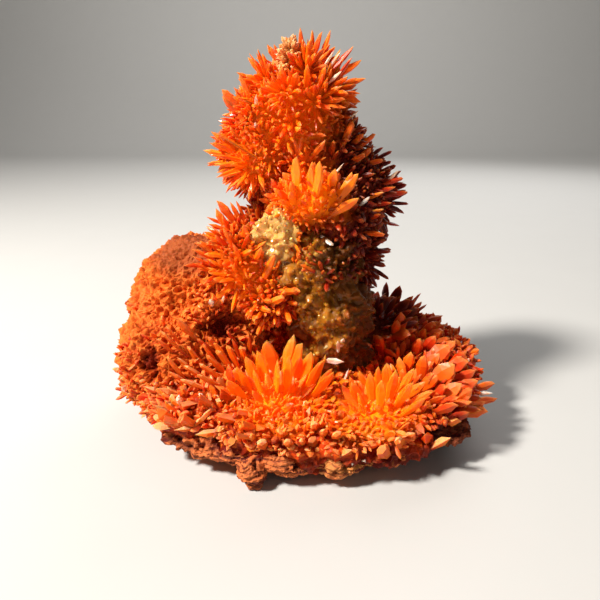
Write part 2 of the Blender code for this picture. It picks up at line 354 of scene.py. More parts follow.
def clearFinish():
    # colourless calcite, or sugary where the dust attribute says so
    made, shader, start, place = newMaterial("clearCalcite", {
        "Subsurface Weight": 0.3, "Subsurface Scale": 2 * mm, "Subsurface Radius": (1.0, 0.6, 0.35),
        "Coat Weight": 0.4, "Coat Roughness": 0.08})
    grains = start.noise(place, 700, 2)
    tone, dusty = start.attribute("tone"), start.attribute("dust")
    colour = start.mix(grains.ease(0.4, 0.65), clearLook["rosy"], clearLook["clear"])
    sugary = start.mix((tone + grains - 0.5).ease(0.4, 1.1), clearLook["amber"], clearLook["sugar"])
    connect(shader, "Base Color", start.mix(dusty, colour, sugary))
    connect(shader, "Roughness", 0.16 + dusty * 0.35)
    bumped(start, shader, grains, 0.1)
    return made


humpLook = {"brick": (0.40, 0.050, 0.005), "orange": (0.62, 0.100, 0.007), "low": (0.16, 0.010, 0.001),
    "crest": (0.80, 0.21, 0.03), "brown": (0.30, 0.070, 0.018), "deep": (0.15, 0.009, 0.002)}


def humpFinish():
    made, shader, start, place = newMaterial("humpCrust", {
        "Subsurface Weight": 0.15, "Subsurface Scale": 1.2 * mm, "Subsurface Radius": (1.0, 0.25, 0.06),
        "Specular IOR Level": 0.12})
    relief = start.attribute("relief")
    grains = start.noise(place, 650, 3)
    colour = start.mix(start.noise(place, 60, 3).ease(0.35, 0.65), humpLook["brick"], humpLook["orange"])
    # painted shade in the low places of the relief, painted highlight on its crests
    colour = start.mix(relief.ease(0.46, 0.08) * 0.8, colour, humpLook["low"])
    colour = start.mix((relief + (grains - 0.5) * 0.5).ease(0.62, 0.95) * 0.7, colour, humpLook["crest"])
    colour = start.mix(start.attribute("brown") * 0.85, colour, humpLook["brown"])
    # painted shade in the hollows
    colour = start.mix(start.attribute("deep") * 0.8, colour, humpLook["deep"])
    connect(shader, "Base Color", colour)
    connect(shader, "Roughness", 0.45 + grains * 0.35)
    bumped(start, shader, grains + start.noise(place, 260, 3), 0.35)
    return made


creamLook = {"olive": (0.22, 0.070, 0.003), "amber": (0.46, 0.16, 0.006), "honey": (0.62, 0.27, 0.025),
    "cream": (0.68, 0.37, 0.10), "white": (0.84, 0.66, 0.40), "rust": (0.50, 0.07, 0.006),
    "hollow": (0.085, 0.020, 0.002), "paleAbove": (0.050, 0.064), "paleBelow": 0.032}


def creamFinish():
    # cream at the top left of the core, partly painted light where that side is lit, olive and amber below,
    # partly painted shade, a little cream again at its foot
    made, shader, start, place = newMaterial("creamCalcite", {
        "Subsurface Weight": 0.6, "Subsurface Scale": 3.5 * mm, "Subsurface Radius": (1.0, 0.5, 0.12),
        "Specular IOR Level": 0.15, "Coat Roughness": 0.12})
    x = start.node("ShaderNodeSeparateXYZ", None, {0: place}, "X")
    z = start.node("ShaderNodeSeparateXYZ", None, {0: place}, "Z")
    tone, deep = start.attribute("tone"), start.attribute("deep")
    patches = start.noise(place, 110, 4) - 0.5
    grains = start.noise(place, 800, 2)
    high = (z + patches * 0.03 - x * 2.2).ease(*creamLook["paleAbove"])
    low = (creamLook["paleBelow"] - z + patches * 0.05).ease(0.0, 0.012) * (tone + patches).ease(0.3, 0.8)
    colour = start.mix((tone + patches * 1.4).ease(0.15, 0.6), creamLook["olive"], creamLook["amber"])
    colour = start.mix((tone + patches * 1.2).ease(0.55, 0.95), colour, creamLook["honey"])
    colour = start.mix(high * 0.9 + low * 0.6, colour, creamLook["cream"])
    colour = start.mix((tone + patches).ease(0.85, 1.15) * 0.7, colour, creamLook["white"])
    colour = start.mix(start.noise(place, 60, 2).ease(0.55, 0.68) * 0.7, colour, creamLook["rust"])
    # painted shade in the hollow at the right of the core
    colour = start.mix(deep * 0.85, colour, creamLook["hollow"])
    connect(shader, "Base Color", colour)
    connect(shader, "Roughness", 0.3 + grains * 0.35)
    connect(shader, "Coat Weight", (1 - deep) * 0.5)
    bumped(start, shader, grains, 0.12)
    return made


rockLook = {"maroon": (0.085, 0.006, 0.005), "rust": (0.60, 0.15, 0.038), "tan": (0.56, 0.21, 0.05),
    "wine": (0.10, 0.006, 0.006), "dust": (0.62, 0.28, 0.12), "deep": (0.055, 0.003, 0.004),
    "layers": (70, 70, 1100)}


def rockFinish():
    # thin layers, from noise that is far finer up and down than along the rock
    made, shader, start, place = newMaterial("matrixRock", {"Specular IOR Level": 0.2})
    flat = start.node("ShaderNodeMapping", None, {"Vector": place, "Scale": rockLook["layers"]})
    fine = start.noise(flat, 1, 4)
    grains = start.noise(place, 600, 4)
    patches = start.noise(place, 75, 3)
    layered = (start.attribute("layer") * 0.22 + fine).ease(0.47, 0.66)
    colour = start.mix(layered, rockLook["maroon"], rockLook["rust"])
    colour = start.mix(patches.ease(0.52, 0.68) * fine.ease(0.4, 0.55), colour, rockLook["tan"])
    colour = start.mix(patches.ease(0.45, 0.33) * 0.85, colour, rockLook["wine"])
    colour = start.mix((grains - 0.5) * 0.8, colour, rockLook["dust"])
    # painted shade in the pockets and at the east end
    colour = start.mix(start.attribute("deep") * 0.9, colour, rockLook["deep"])
    connect(shader, "Base Color", colour)
    connect(shader, "Roughness", 0.62 + grains * 0.3)
    bumped(start, shader, grains * 0.3 + fine, 0.9)
    return made


# the last value is the emission strength of the painted glow; the stars' crystals get more
crystalStuff = orangeCrystal("orangeCrystal", 0.45, 2.2, 0.14)
glowingStuff = orangeCrystal("glowingCrystal", 0.8, 4.5, 0.3)
baseStuff, humpStuff, creamStuff, rockStuff = growthBase(), humpFinish(), creamFinish(), rockFinish()
clearStuff = clearFinish()
print("materials made")


# one crystal of each kind, a unit tall and two wide at its waist: how many sides, rings of height and radius
crystalShapes = {
    "lance": {"sides": 6, "rings": ((0, 0.6), (0.68, 1.0), (0.88, 0.55)), "tip": 1.0, "wobble": 0.10},
    "blade": {"sides": 6, "rings": ((0, 0.5), (0.64, 1.0), (0.86, 0.62)), "tip": 1.0, "wobble": 0.13},
    "needle": {"sides": 5, "rings": ((0, 0.75), (0.75, 1.0)), "tip": 1.0, "wobble": 0.10},
    "finger": {"sides": 6, "rings": ((0, 0.6), (0.6, 1.0), (0.88, 0.72)), "tip": 0.97, "wobble": 0.12},
    "stub": {"sides": 6, "rings": ((0, 0.8), (0.66, 1.0)), "tip": 1.0, "wobble": 0.22},
    "tablet": {"sides": 6, "rings": ((0, 0.7), (0.5, 1.0), (0.84, 0.78)), "tip": 0.93, "wobble": 0.16},
    "bead": {"sides": 6, "rings": ((0, 0.6), (0.4, 1.0), (0.78, 0.72)), "tip": 0.98, "wobble": 0.1},
    "grain": {"sides": 5, "rings": ((0, 0.5), (0.45, 1.0)), "tip": 0.9, "wobble": 0.25},
    "chip": {"sides": 4, "rings": ((0, 1.15), (0.8, 1.3)), "slant": 0.16, "wobble": 0.22},
    "wedge": {"sides": 4, "rings": ((0, 1.0), (0.62, 1.3)), "tip": 1.0, "wobble": 0.16},
}
variants = 6


def oneCrystal(kind, seed):
    values = crystalShapes[kind]
    chance = random.Random(seed)
    (low, lowRadius), (high, highRadius) = values["rings"][:2]
    work = bmesh.new()
    upright = Matrix.Translation((0, 0, (low + high) / 2)) @ Matrix.Rotation(math.pi / 4, 4, "Z")
    bmesh.ops.create_cone(work, cap_ends=True, segments=values["sides"], radius1=lowRadius,
        radius2=highRadius, depth=high - low, matrix=upright)
    top = max(work.faces, key=lambda face: face.calc_center_median().z)
    for height, radius in values["rings"][2:]:
        top = bmesh.ops.extrude_discrete_faces(work, faces=[top])["faces"][0]
        share = radius / highRadius
        bmesh.ops.scale(work, vec=(share, share, 1), verts=top.verts)
        bmesh.ops.translate(work, vec=(0, 0, height - high), verts=top.verts)
        high, highRadius = height, radius
    amount = values["wobble"]
    for vertex in work.verts:
        vertex.co.x *= 1 + chance.uniform(-amount, amount)
        vertex.co.y *= 1 + chance.uniform(-amount, amount)
        if vertex.co.z > 0:
            vertex.co.z += chance.uniform(-amount, amount) * 0.35
    if "slant" in values:
        for vertex in top.verts:
            vertex.co.z += vertex.co.x * values["slant"]
    else:
        point = bmesh.ops.poke(work, faces=[top])["verts"][0]
        point.co = (chance.uniform(-0.25, 0.25), chance.uniform(-0.25, 0.25), values["tip"])
    bmesh.ops.triangulate(work, faces=work.faces[:])
    bmesh.ops.recalc_face_normals(work, faces=work.faces[:])
    work.verts.index_update()
    corners = np.array([vertex.co[:] for vertex in work.verts])
    faces = np.array([[vertex.index for vertex in face.verts] for face in work.faces])
    work.free()
    return corners, faces


crystalKinds = {}
for kind in crystalShapes:
    crystalKinds[kind] = [oneCrystal(kind, seeds["shapes"] + number) for number in range(variants)]


class Crop:
    # crystals of one piece, gathered before they are made one mesh
    def __init__(self):
        self.rows = []

    def add(self, kind, root, way, length, width, flat=0.7, facing=None, spin=None, looks=(0.5, 0, 0, 0)):
        self.rows.append((kind, root, way, length, width, flat, facing, spin, looks))

    def placed(self, rows, shape, chance):
        # the corners of one shape, put where each row says and never past the CAD box
        _, roots, ways, lengths, widths, flats, facings, spins, _ = zip(*rows)
        roots, ways = np.array(roots, dtype=float), unit(np.array(ways, dtype=float))
        widths, flats = np.array(widths) / 2, np.array(flats)
        facings = np.array([chance.normal(size=3) if facing is None else facing for facing in facings])
        spins = np.array([chance.uniform(0, 2 * math.pi) if spin is None else spin for spin in spins])
        wall = np.where(ways > 0, boxHigh + boxSlack, boxLow - boxSlack)
        with np.errstate(divide="ignore", invalid="ignore"):
            room = (wall - roots) / ways
        room = np.where(np.abs(ways) < 1e-6, 1e6, room).min(axis=1)
        lengths = np.clip(np.array(lengths), 0.3, np.maximum(room, 0.3))
        across = unit(np.cross(facings, ways))
        over = np.cross(ways, across)
        turned = across * np.cos(spins)[:, None] + over * np.sin(spins)[:, None]
        over = np.cross(ways, turned)
        return (
            roots[:, None]
            + shape[None, :, 0, None] * (turned * widths[:, None])[:, None]
            + shape[None, :, 1, None] * (over * (widths * flats)[:, None])[:, None]
            + shape[None, :, 2, None] * (ways * lengths[:, None])[:, None]
        )

    def mesh(self, name, chance):
        corners, faces, marks = [], [], []
        offset = 0
        for kind in crystalShapes:
            chosen = [row for row in self.rows if row[0] == kind]
            for number in range(variants):
                rows = chosen[number::variants]
                if not rows:
                    continue
                shape, shapeFaces = crystalKinds[kind][number]
                size = len(shape)
                corners.append(self.placed(rows, shape, chance).reshape(-1, 3))
                steps = offset + np.arange(len(rows)) * size
                faces.append((shapeFaces[None] + steps[:, None, None]).reshape(-1, 3))
                looks = np.repeat(np.array([row[-1] for row in rows], dtype=float), size, axis=0)
                along = np.tile(shape[:, 2], len(rows))
                marks.append(np.column_stack((along, looks)))
                offset += size * len(rows)
        corners, faces, marks = np.concatenate(corners), np.concatenate(faces), np.concatenate(marks)
        mesh = bpy.data.meshes.new(name)
        mesh.vertices.add(len(corners))
        mesh.vertices.foreach_set("co", (corners * mm).ravel())
        mesh.loops.add(len(faces) * 3)
        mesh.loops.foreach_set("vertex_index", faces.ravel())
        mesh.polygons.add(len(faces))
        mesh.polygons.foreach_set("loop_start", np.arange(len(faces)) * 3)
        mesh.update(calc_edges=True)
        mesh.shade_flat()
        for number, mark in enumerate(crystalMarks):
            paint(mesh, mark, marks[:, number])
        return mesh


def lumpField(points, lumps, softness=1.2):
    # for each point the nearest lump and a normal blended from all the lumps near it
    best = np.full(len(points), 1e9)
    nearest = np.zeros(len(points), dtype=int)
    ways = np.zeros_like(points)
    for number, lump in enumerate(lumps):
        centre, radii = np.array(lump[0], dtype=float), np.array(lump[1], dtype=float)
        scaled = (points - centre) / radii
        depth = np.linalg.norm(scaled, axis=1)
        gap = (depth - 1) * np.linalg.norm(points - centre, axis=1) / np.maximum(depth, 1e-6)
        slope = unit(scaled / radii) * 0.5 + unit(points - centre) * 0.5
        ways += slope * np.exp(-np.clip(gap, -3, 30) / softness)[:, None]
        closer = gap < best
        best[closer] = gap[closer]
        nearest[closer] = number
    return nearest, unit(ways)


def spread(points, apart, chance):
    # points that keep their distance from one another
    tree = KDTree(len(points))
    for number, point in enumerate(points):
        tree.insert(point, number)
    tree.balance()
    apart = np.broadcast_to(apart, len(points))
    free = np.ones(len(points), dtype=bool)
    kept = []
    for number in chance.permutation(len(points)):
        if free[number]:
            kept.append(number)
            for _, other, _ in tree.find_range(points[number], apart[number]):
                free[other] = False
    return np.array(kept)


# how tufts differ, how sizes are drawn in them, how much shorter their outer crystals are, and how much of a
# crystal's width goes with its size
tuftValues = {"lift": (-0.6, 0.9), "size": (0.75, 1.15), "tone": (-0.16, 0.16), "tilt": 0.22,
    "sizes": (1.6, 2.6), "shorter": 0.45, "widthBySize": 0.6}


def tuftWays(points, normals, tuft, chance):
    # crystals fan out of tufts whose centres lie below the skin, each tuft a little higher, larger or redder
    centres = spread(points, tuft["apart"], chance)
    tree = KDTree(len(centres))
    for order, number in enumerate(centres):
        tree.insert(points[number], order)
    tree.balance()
    tilted = unit(normals[centres] + chance.normal(size=(len(centres), 3)) * tuftValues["tilt"])
    lift, size, tone = (chance.uniform(*tuftValues[name], len(centres)) for name in ("lift", "size", "tone"))
    ways, fade, own = np.empty_like(points), np.empty(len(points)), np.empty(len(points), dtype=int)
    for number, point in enumerate(points):
        middle, own[number], distance = tree.find(point)
        ways[number] = point - (np.array(middle) - tilted[own[number]] * tuft["depth"])
        fade[number] = distance / tuft["apart"]
    return unit(ways), fade, lift[own], size[own], tone[own]


def partWay(limits, part):
    return limits[0] + (limits[1] - limits[0]) * part


def scatter(crop, points, normals, habit, chance, looks):
    # the crystals of one habit over a skin
    roots = spread(points, habit["apart"], chance)
    tufted, fade, lift, large, tone = tuftWays(points, normals, habit["tuft"], chance)
    lean = np.array(habit.get("lean", (0, 0, 0)))
    bySize = tuftValues["widthBySize"]
    for number in roots:
        way = tufted[number] * habit["fan"] + normals[number] * (1 - habit["fan"]) + lean
        way = unit(way + chance.normal(size=3) * habit["wild"])
        size = chance.beta(*tuftValues["sizes"])
        length = partWay(habit["length"], size) * large[number]
        length *= 1 - tuftValues["shorter"] * min(fade[number], 1) ** 2
        width = partWay(habit["width"], bySize * size + (1 - bySize) * chance.random()) * large[number]
        root = points[number] - way * (habit["sunk"] - lift[number])
        own = looks(points[number], way, chance)
        faced = {}
        if "faceOut" in habit:
            faced = {"facing": normals[number] + (0, 0, 0.4), "spin": chance.normal(0, habit["faceOut"])}
        if "faceTo" in habit:
            faced = {"facing": np.array(habit["faceTo"]), "spin": chance.normal(0, 0.4)}
        kind = habit["kinds"][chance.integers(len(habit["kinds"]))]
        crop.add(kind, root, way, length, width, chance.uniform(*habit["flat"]),
            looks=(clamp01(own[0] + tone[number]), *own[1:]), **faced)


# each habit: the kinds of crystal, their sizes in mm, how far apart they and their tufts stand, how deep the
# tufts' centres lie, how far they fan out, how uneven they are, how deep they sink in and how flat they are
habits = {
    "crown": {"kinds": ("lance", "needle", "lance"), "length": (4.5, 8), "width": (0.8, 1.6), "apart": 1.4,
        "tuft": {"apart": 8, "depth": 4}, "fan": 0.92, "wild": 0.12, "sunk": 2.3, "flat": (0.5, 0.85)},
    "needles": {"kinds": ("needle", "needle", "lance"), "length": (5, 9), "width": (0.7, 1.35),
        "apart": 1.2, "tuft": {"apart": 7.5, "depth": 3.5}, "fan": 0.92, "wild": 0.12, "sunk": 2.2,
        "flat": (0.5, 0.9), "lean": (-0.12, -0.05, 0.0)},
    "lances": {"kinds": ("lance", "needle", "lance"), "length": (4.5, 8.5), "width": (0.8, 1.6),
        "apart": 1.35, "tuft": {"apart": 7.5, "depth": 3.5}, "fan": 0.92, "wild": 0.12, "sunk": 2.2,
        "flat": (0.5, 0.85)},
    "blades": {"kinds": ("blade", "lance", "lance"), "length": (3.5, 7.5), "width": (1.1, 2.3),
        "apart": 1.5, "tuft": {"apart": 6.5, "depth": 3.5}, "fan": 0.8, "wild": 0.2, "sunk": 2.2,
        "flat": (0.45, 0.75), "lean": (0, 0, 0.3)},
    "singles": {"kinds": ("finger", "lance"), "length": (5.5, 10), "width": (1.1, 1.9), "apart": 1.9,
        "tuft": {"apart": 9, "depth": 6}, "fan": 0.8, "wild": 0.15, "sunk": 2.4, "flat": (0.6, 0.9),
        "lean": (0.1, 0, 0.12)},
    "spray": {"kinds": ("lance", "blade", "needle"), "length": (5, 10), "width": (1.1, 2.4), "apart": 1.5,
        "tuft": {"apart": 7.5, "depth": 3.5}, "fan": 0.92, "wild": 0.12, "sunk": 2.2, "flat": (0.4, 0.75),
        "lean": (-0.15, 0, 0.2)},
    "fingers": {"kinds": ("finger", "finger", "lance"), "length": (3.5, 7.5), "width": (1.2, 2.2),
        "apart": 1.9, "tuft": {"apart": 6, "depth": 4}, "fan": 0.75, "wild": 0.3, "sunk": 2.0,
        "flat": (0.6, 0.9)},
    "back": {"kinds": ("lance", "blade", "finger"), "length": (4.5, 9), "width": (1.3, 2.6), "apart": 1.8,
        "tuft": {"apart": 8, "depth": 4}, "fan": 0.9, "wild": 0.14, "sunk": 2.2, "flat": (0.45, 0.85)},
    "plate": {"kinds": ("blade", "blade", "lance"), "length": (4, 8), "width": (1.5, 3.4), "apart": 1.9,
        "tuft": {"apart": 9, "depth": 4}, "fan": 0.9, "wild": 0.16, "sunk": 1.8, "flat": (0.3, 0.6),
        "faceOut": 0.6},
    "fan": {"kinds": ("blade", "blade", "lance"), "length": (7, 12), "width": (1.8, 4.0), "apart": 2.2,
        "tuft": {"apart": 12, "depth": 6}, "fan": 0.85, "wild": 0.13, "sunk": 2.6, "flat": (0.28, 0.5),
        "lean": (0.5, -0.08, 0.08), "faceOut": 0.5},
    "star": {"kinds": ("blade", "lance"), "length": (3, 6), "width": (1.3, 2.6), "apart": 1.5,
        "tuft": {"apart": 20, "depth": 8}, "fan": 0.95, "wild": 0.14, "sunk": 1.6, "flat": (0.35, 0.6)},
    "chips": {"kinds": ("chip", "wedge", "blade", "wedge"), "length": (3.6, 7.5), "width": (1.2, 3.2),
        "apart": 2.0, "tuft": {"apart": 9, "depth": 4}, "fan": 0.6, "wild": 0.3, "sunk": 2.2,
        "flat": (0.35, 0.75), "lean": (-0.55, 0.2, 0.35), "faceTo": (-0.5, -0.1, 0.8)},
    "chunks": {"kinds": ("blade", "tablet", "wedge", "stub"), "length": (3.2, 6.0), "width": (1.4, 3.6),
        "apart": 2.1, "tuft": {"apart": 8, "depth": 3.2}, "fan": 0.85, "wild": 0.35, "sunk": 1.6,
        "flat": (0.4, 0.8), "lean": (-0.1, 0, 0.25)},
    "rim": {"kinds": ("blade", "tablet", "wedge", "blade"), "length": (2.8, 5.4), "width": (1.3, 2.8),
        "apart": 1.8, "tuft": {"apart": 7, "depth": 3}, "fan": 0.7, "wild": 0.35, "sunk": 1.6,
        "flat": (0.35, 0.7), "lean": (0, 0, 0.3)},
}
coarse = ("plate", "fan", "star", "chips", "chunks", "rim")
pieceOfHabit = {
    "crown": "crownCrystals", "needles": "columnCrystals", "lances": "columnCrystals",
    "blades": "columnCrystals", "singles": "columnCrystals", "spray": "leftSprays", "fingers": "leftSprays",
    "back": "backCrystals", "plate": "plateCrystals", "fan": "fanCrystals", "star": "starCrystals",
    "chips": "edgeCrystals", "chunks": "edgeCrystals", "rim": "edgeCrystals",
}
# the small crystals in between, with larger ones for the coarse habits
fillValues = {"kinds": ("lance", "stub", "blade"), "apart": 1.0, "length": (1.8, 3.8), "width": (0.6, 1.3),
    "wild": 0.35, "sunk": 0.9, "fan": 0.6, "flat": (0.4, 0.9)}
coarseFill = {"kinds": ("blade", "lance", "wedge"), "apart": 1.2, "length": (2.0, 4.2), "width": (0.7, 1.7),
    "wild": 0.35, "sunk": 1.1, "fan": 0.7, "flat": (0.35, 0.7)}


# where painted glow and emission stand in for light coming through the crystals: centre, radius and strength
glowSpots = (
    ((-6, -24, 14), 14, 1.4), ((18, -27, 11), 14, 1.4), ((-2, -8, 84), 15, 0.85), ((3, -16, 65), 13, 1.3),
    ((-14, -13, 44), 11, 0.6), ((-14, -8, 72), 11, 0.7), ((-19, -20, 22), 10, 0.45),
)
glowFloor = ("z", 10, 13.5)
# a zone is a strength and a row of axes, each with the place where the zone starts and where it is full
# painted shade: on the right of the column, under the front bulge, in the dark zones and in the gap at the
# left
rightSide = (0.97, ("x", 4, 12), ("z", 28, 34), ("z", 88, 76))
underBulge = (0.75, ("z", 61, 56), ("z", 44, 49), ("y", -9, -13), ("x", -2, 3))
darkZones = (
    (0.95, ("x", 26, 31), ("z", 13.5, 10.5), ("y", -8, -16)),
    (0.3, ("x", 27, 35), ("z", 32, 26)),
    (0.25, ("y", 8, 28)),
    (0.96, ("y", -7, -1), ("y", 26, 16), ("x", 8, 13), ("z", 20.5, 24.5)),
)
leftGap = ((-15, 0, 61), 6)
# where crystals carry pale dust; on their upward faces it also serves as a painted highlight
dustZones = (
    (0.8, ("x", -12, -22), ("z", 34, 26)),
    (0.85, ("z", 14.5, 10.5), ("y", -22, -30)),
    (0.2, ("x", 24, 34), ("z", 30, 24)),
)
# oddDark: the share of crystals darkened at random through the painted shade, and by how much
looksValues = {"tone": 0.48, "spread": 0.24, "toneUp": 0.1, "redder": ("x", 20, 30, 0.26), "turned": 6,
    "oddDark": (0.07, 0.5)}


def inZone(place, *ramps):
    # how far a place lies in a zone, from 0 to 1
    share = 1
    for axis, start, full in ramps:
        share *= clamp01((place[axis] - start) / (full - start))
    return share


def growthLooks(point, way, chance):
    # tone, painted glow, painted shade and dust of a crystal from where it stands
    values = looksValues
    place = dict(zip("xyz", point))
    *redder, amount = values["redder"]
    tone = chance.normal(values["tone"], values["spread"]) + values["toneUp"] * way[2]
    tone = clamp01(tone - amount * inZone(place, redder))
    paintedGlow = max(clamp01((1 - math.dist(point, centre) / radius) * strength)
        for centre, radius, strength in glowSpots)
    under = inZone(place, *underBulge[1:])
    paintedGlow *= inZone(place, glowFloor) * (1 - under)
    turned = {**place, "x": point[0] + way[0] * values["turned"]}
    deep = max(rightSide[0] * inZone(turned, *rightSide[1:]), underBulge[0] * under)
    deep = max(deep, *(zone[0] * inZone(place, *zone[1:]) for zone in darkZones))
    deep = max(deep, clamp01(1.4 - math.dist(point, leftGap[0]) / leftGap[1]) * 0.85)
    oddShare, oddDeep = values["oddDark"]
    if chance.random() < oddShare:
        deep = max(deep, oddDeep)
    dust = max(zone[0] * inZone(place, *zone[1:]) for zone in dustZones)
    return tone, paintedGlow, deep, dust * chance.uniform(0.5, 1)


growthSkinValues = {"voxel": 0.85, "rough": 1.1, "grain": 6, "jag": 1.6, "jagGrain": 2.2}
allGrowth = growthLumps + rimLumps(9.5, 6.5, (7.6, 7.6, 3.6))
growthMesh = lumpSkin("growthSkin", allGrowth, growthSkinValues["voxel"])
points, normals = readPoints(growthMesh)
points += normals * (ripple(points, growthSkinValues["grain"], 4) * growthSkinValues["rough"])[:, None]
lowFront = ramp(points[:, 2], 9.5, 7.5) * ramp(points[:, 1], -16, -20)      # the jagged edge over the rock
jags = ripple(points, growthSkinValues["jagGrain"], fade=0.7) * lowFront * growthSkinValues["jag"]
points += normals * jags[:, None]
writePoints(growthMesh, points)
marks = np.array([growthLooks(point, (0, 0, 0), np.random.default_rng(1)) for point in points])
# painted glow, and painted shade with more of it along the low front edge over the rock
paint(growthMesh, "paintedGlow", marks[:, 1])
paint(growthMesh, "deep", np.maximum(marks[:, 2], lowFront * 0.8))
finished("growthSkin", growthMesh, baseStuff, "orange_calcite", "crystal_growth")
print("growth skin:", len(growthMesh.polygons), "faces")

nearest, outward = lumpField(points, allGrowth)
# no crystals in the hump and the core, low down, on the rock's front and on faces that look down
bareValues = {"hump": 0.97, "core": 1.03, "floor": 3.5, "front": (-18, 34), "frontFloor": 9.8,
    "under": (22, -0.1)}
bare = within(points, humpLumps, bareValues["hump"]) | within(points, coreLumps, bareValues["core"])
bare |= points[:, 2] < bareValues["floor"]
frontY, frontX = bareValues["front"]
bare |= (points[:, 1] < frontY) & (points[:, 0] < frontX) & (points[:, 2] < bareValues["frontFloor"])
underZ, facing = bareValues["under"]
bare |= (points[:, 2] < underZ) & (outward[:, 2] < facing)
crops = {name: Crop() for name in sorted(set(pieceOfHabit.values()))}
for order, (habitName, habit) in enumerate(habits.items()):
    chance = np.random.default_rng(seeds["habits"] + order)
    lumpNumbers = [number for number, lump in enumerate(allGrowth) if lump[2] == habitName]
    here = np.isin(nearest, lumpNumbers) & ~bare
    if not here.any():
        continue
    crop = crops[pieceOfHabit[habitName]]
    scatter(crop, points[here], outward[here], habit, chance, growthLooks)
    if habitName != "star":
        filler = {**(coarseFill if habitName in coarse else fillValues), "tuft": habit["tuft"]}
        scatter(crop, points[here], outward[here], filler, chance, growthLooks)

# the long crystals of the crown: bursts over a ball, each spraying out of its own centre
crownValues = {"centre": (0.0, 1, 83.5), "ball": 8.4, "half": 118, "bursts": 17, "each": (26, 36),
    "kinds": ("lance", "needle", "lance"), "reach": (7.4, 10.2), "start": 2, "width": (0.8, 1.7),
    "flat": (0.45, 0.8), "open": 68, "uneven": 0.1, "wild": 0.12, "tone": 0.15, "seed": 651}
golden = math.pi * (3 - math.sqrt(5))


def evenWays(count, half):
    # directions spread evenly over a cap about +Z
    lowest = math.cos(math.radians(half))
    for step in range(count):
        height = 1 - (1 - lowest) * (step + 0.5) / count
        ring = math.sqrt(1 - height * height)
        yield Vector((ring * math.cos(golden * step), ring * math.sin(golden * step), height))


chance = np.random.default_rng(crownValues["seed"])
for axis in evenWays(crownValues["bursts"], crownValues["half"]):
    axis = (axis + Vector(chance.normal(size=3) * crownValues["uneven"])).normalized()
    middle = Vector(crownValues["centre"]) + axis * crownValues["ball"] * chance.uniform(0.85, 1.08)
    turn = axis.to_track_quat("Z", "Y").to_matrix()
    longest = chance.uniform(*crownValues["reach"])
    burstTone = chance.uniform(-crownValues["tone"], crownValues["tone"])
    for way in evenWays(chance.integers(*crownValues["each"]), crownValues["open"]):
        leaning = 1 - way.z
        way = (turn @ way + Vector(chance.normal(size=3) * crownValues["wild"])).normalized()
        length = longest * chance.uniform(0.72, 1.05) * (1 - 0.3 * leaning) - crownValues["start"]
        root = middle + way * crownValues["start"]
        tone, *others = growthLooks(root + way * 3, way, chance)
        kind = crownValues["kinds"][chance.integers(3)]
        width, flat = chance.uniform(*crownValues["width"]), chance.uniform(*crownValues["flat"])
        looks = (clamp01(tone + burstTone), *others)
        crops["crownCrystals"].add(kind, root, way, length, width, flat, looks=looks)

# petals of the two stars, short in the middle and long behind: tilt from the axis, how many, reach, width
starValues = [
    {"centre": (-6, -24, 10.5), "axis": (0, -0.12, 1), "reach": 15.5,
        "tiers": [(8, 9, 0.6, 2.4), (20, 14, 0.68, 2.8), (33, 18, 0.8, 3.3), (46, 21, 0.9, 3.8),
            (58, 23, 0.95, 4.0), (70, 27, 0.95, 3.8)]},
    {"centre": (18, -27, 8), "axis": (0.08, -0.1, 1), "reach": 15,
        "tiers": [(8, 9, 0.62, 2.2), (20, 15, 0.74, 2.4), (33, 19, 0.86, 2.7), (46, 22, 0.94, 3.0),
            (58, 24, 0.97, 2.9), (70, 28, 0.95, 3.0)]},
]
# oddDark: the share of petals darkened at random through the painted shade, and by how much
petalValues = {"seed": 700, "start": 4, "flat": (0.3, 0.5), "oddDark": (0.1, 0.45), "dust": 0.15}
for number, star in enumerate(starValues):
    chance = np.random.default_rng(petalValues["seed"] + number)
    axis = Vector(star["axis"]).normalized()
    turn = axis.to_track_quat("Z", "Y").to_matrix()
    oddShare, oddDeep = petalValues["oddDark"]
    for tilt, count, part, width in star["tiers"]:
        for step in range(count):
            around = 2 * math.pi * (step + chance.uniform(-0.3, 0.3)) / count
            lean = math.radians(tilt + chance.normal(0, 5))
            out = math.sin(lean)
            way = turn @ Vector((out * math.cos(around), out * math.sin(around), math.cos(lean)))
            large = 0.5 + 0.5 * clamp01(way.y * 1.6 + 0.45)      # the front ones are short and narrow
            root = Vector(star["centre"]) + way * petalValues["start"]
            length = (star["reach"] * part - petalValues["start"]) * large * chance.uniform(0.7, 1.05)
            tone = clamp01(chance.normal(0.55, 0.25))
            deep = oddDeep if chance.random() < oddShare else 0.0
            wide = width * large * chance.uniform(0.6, 1.1)
            flat = chance.uniform(*petalValues["flat"])
            # petals near the axis get painted glow
            looks = (tone, clamp01(1.25 - tilt / 75), deep, petalValues["dust"])
            crops["starCrystals"].add("blade", root, way, length, wide, flat, facing=axis,
                spin=chance.normal(0, 0.35), looks=looks)

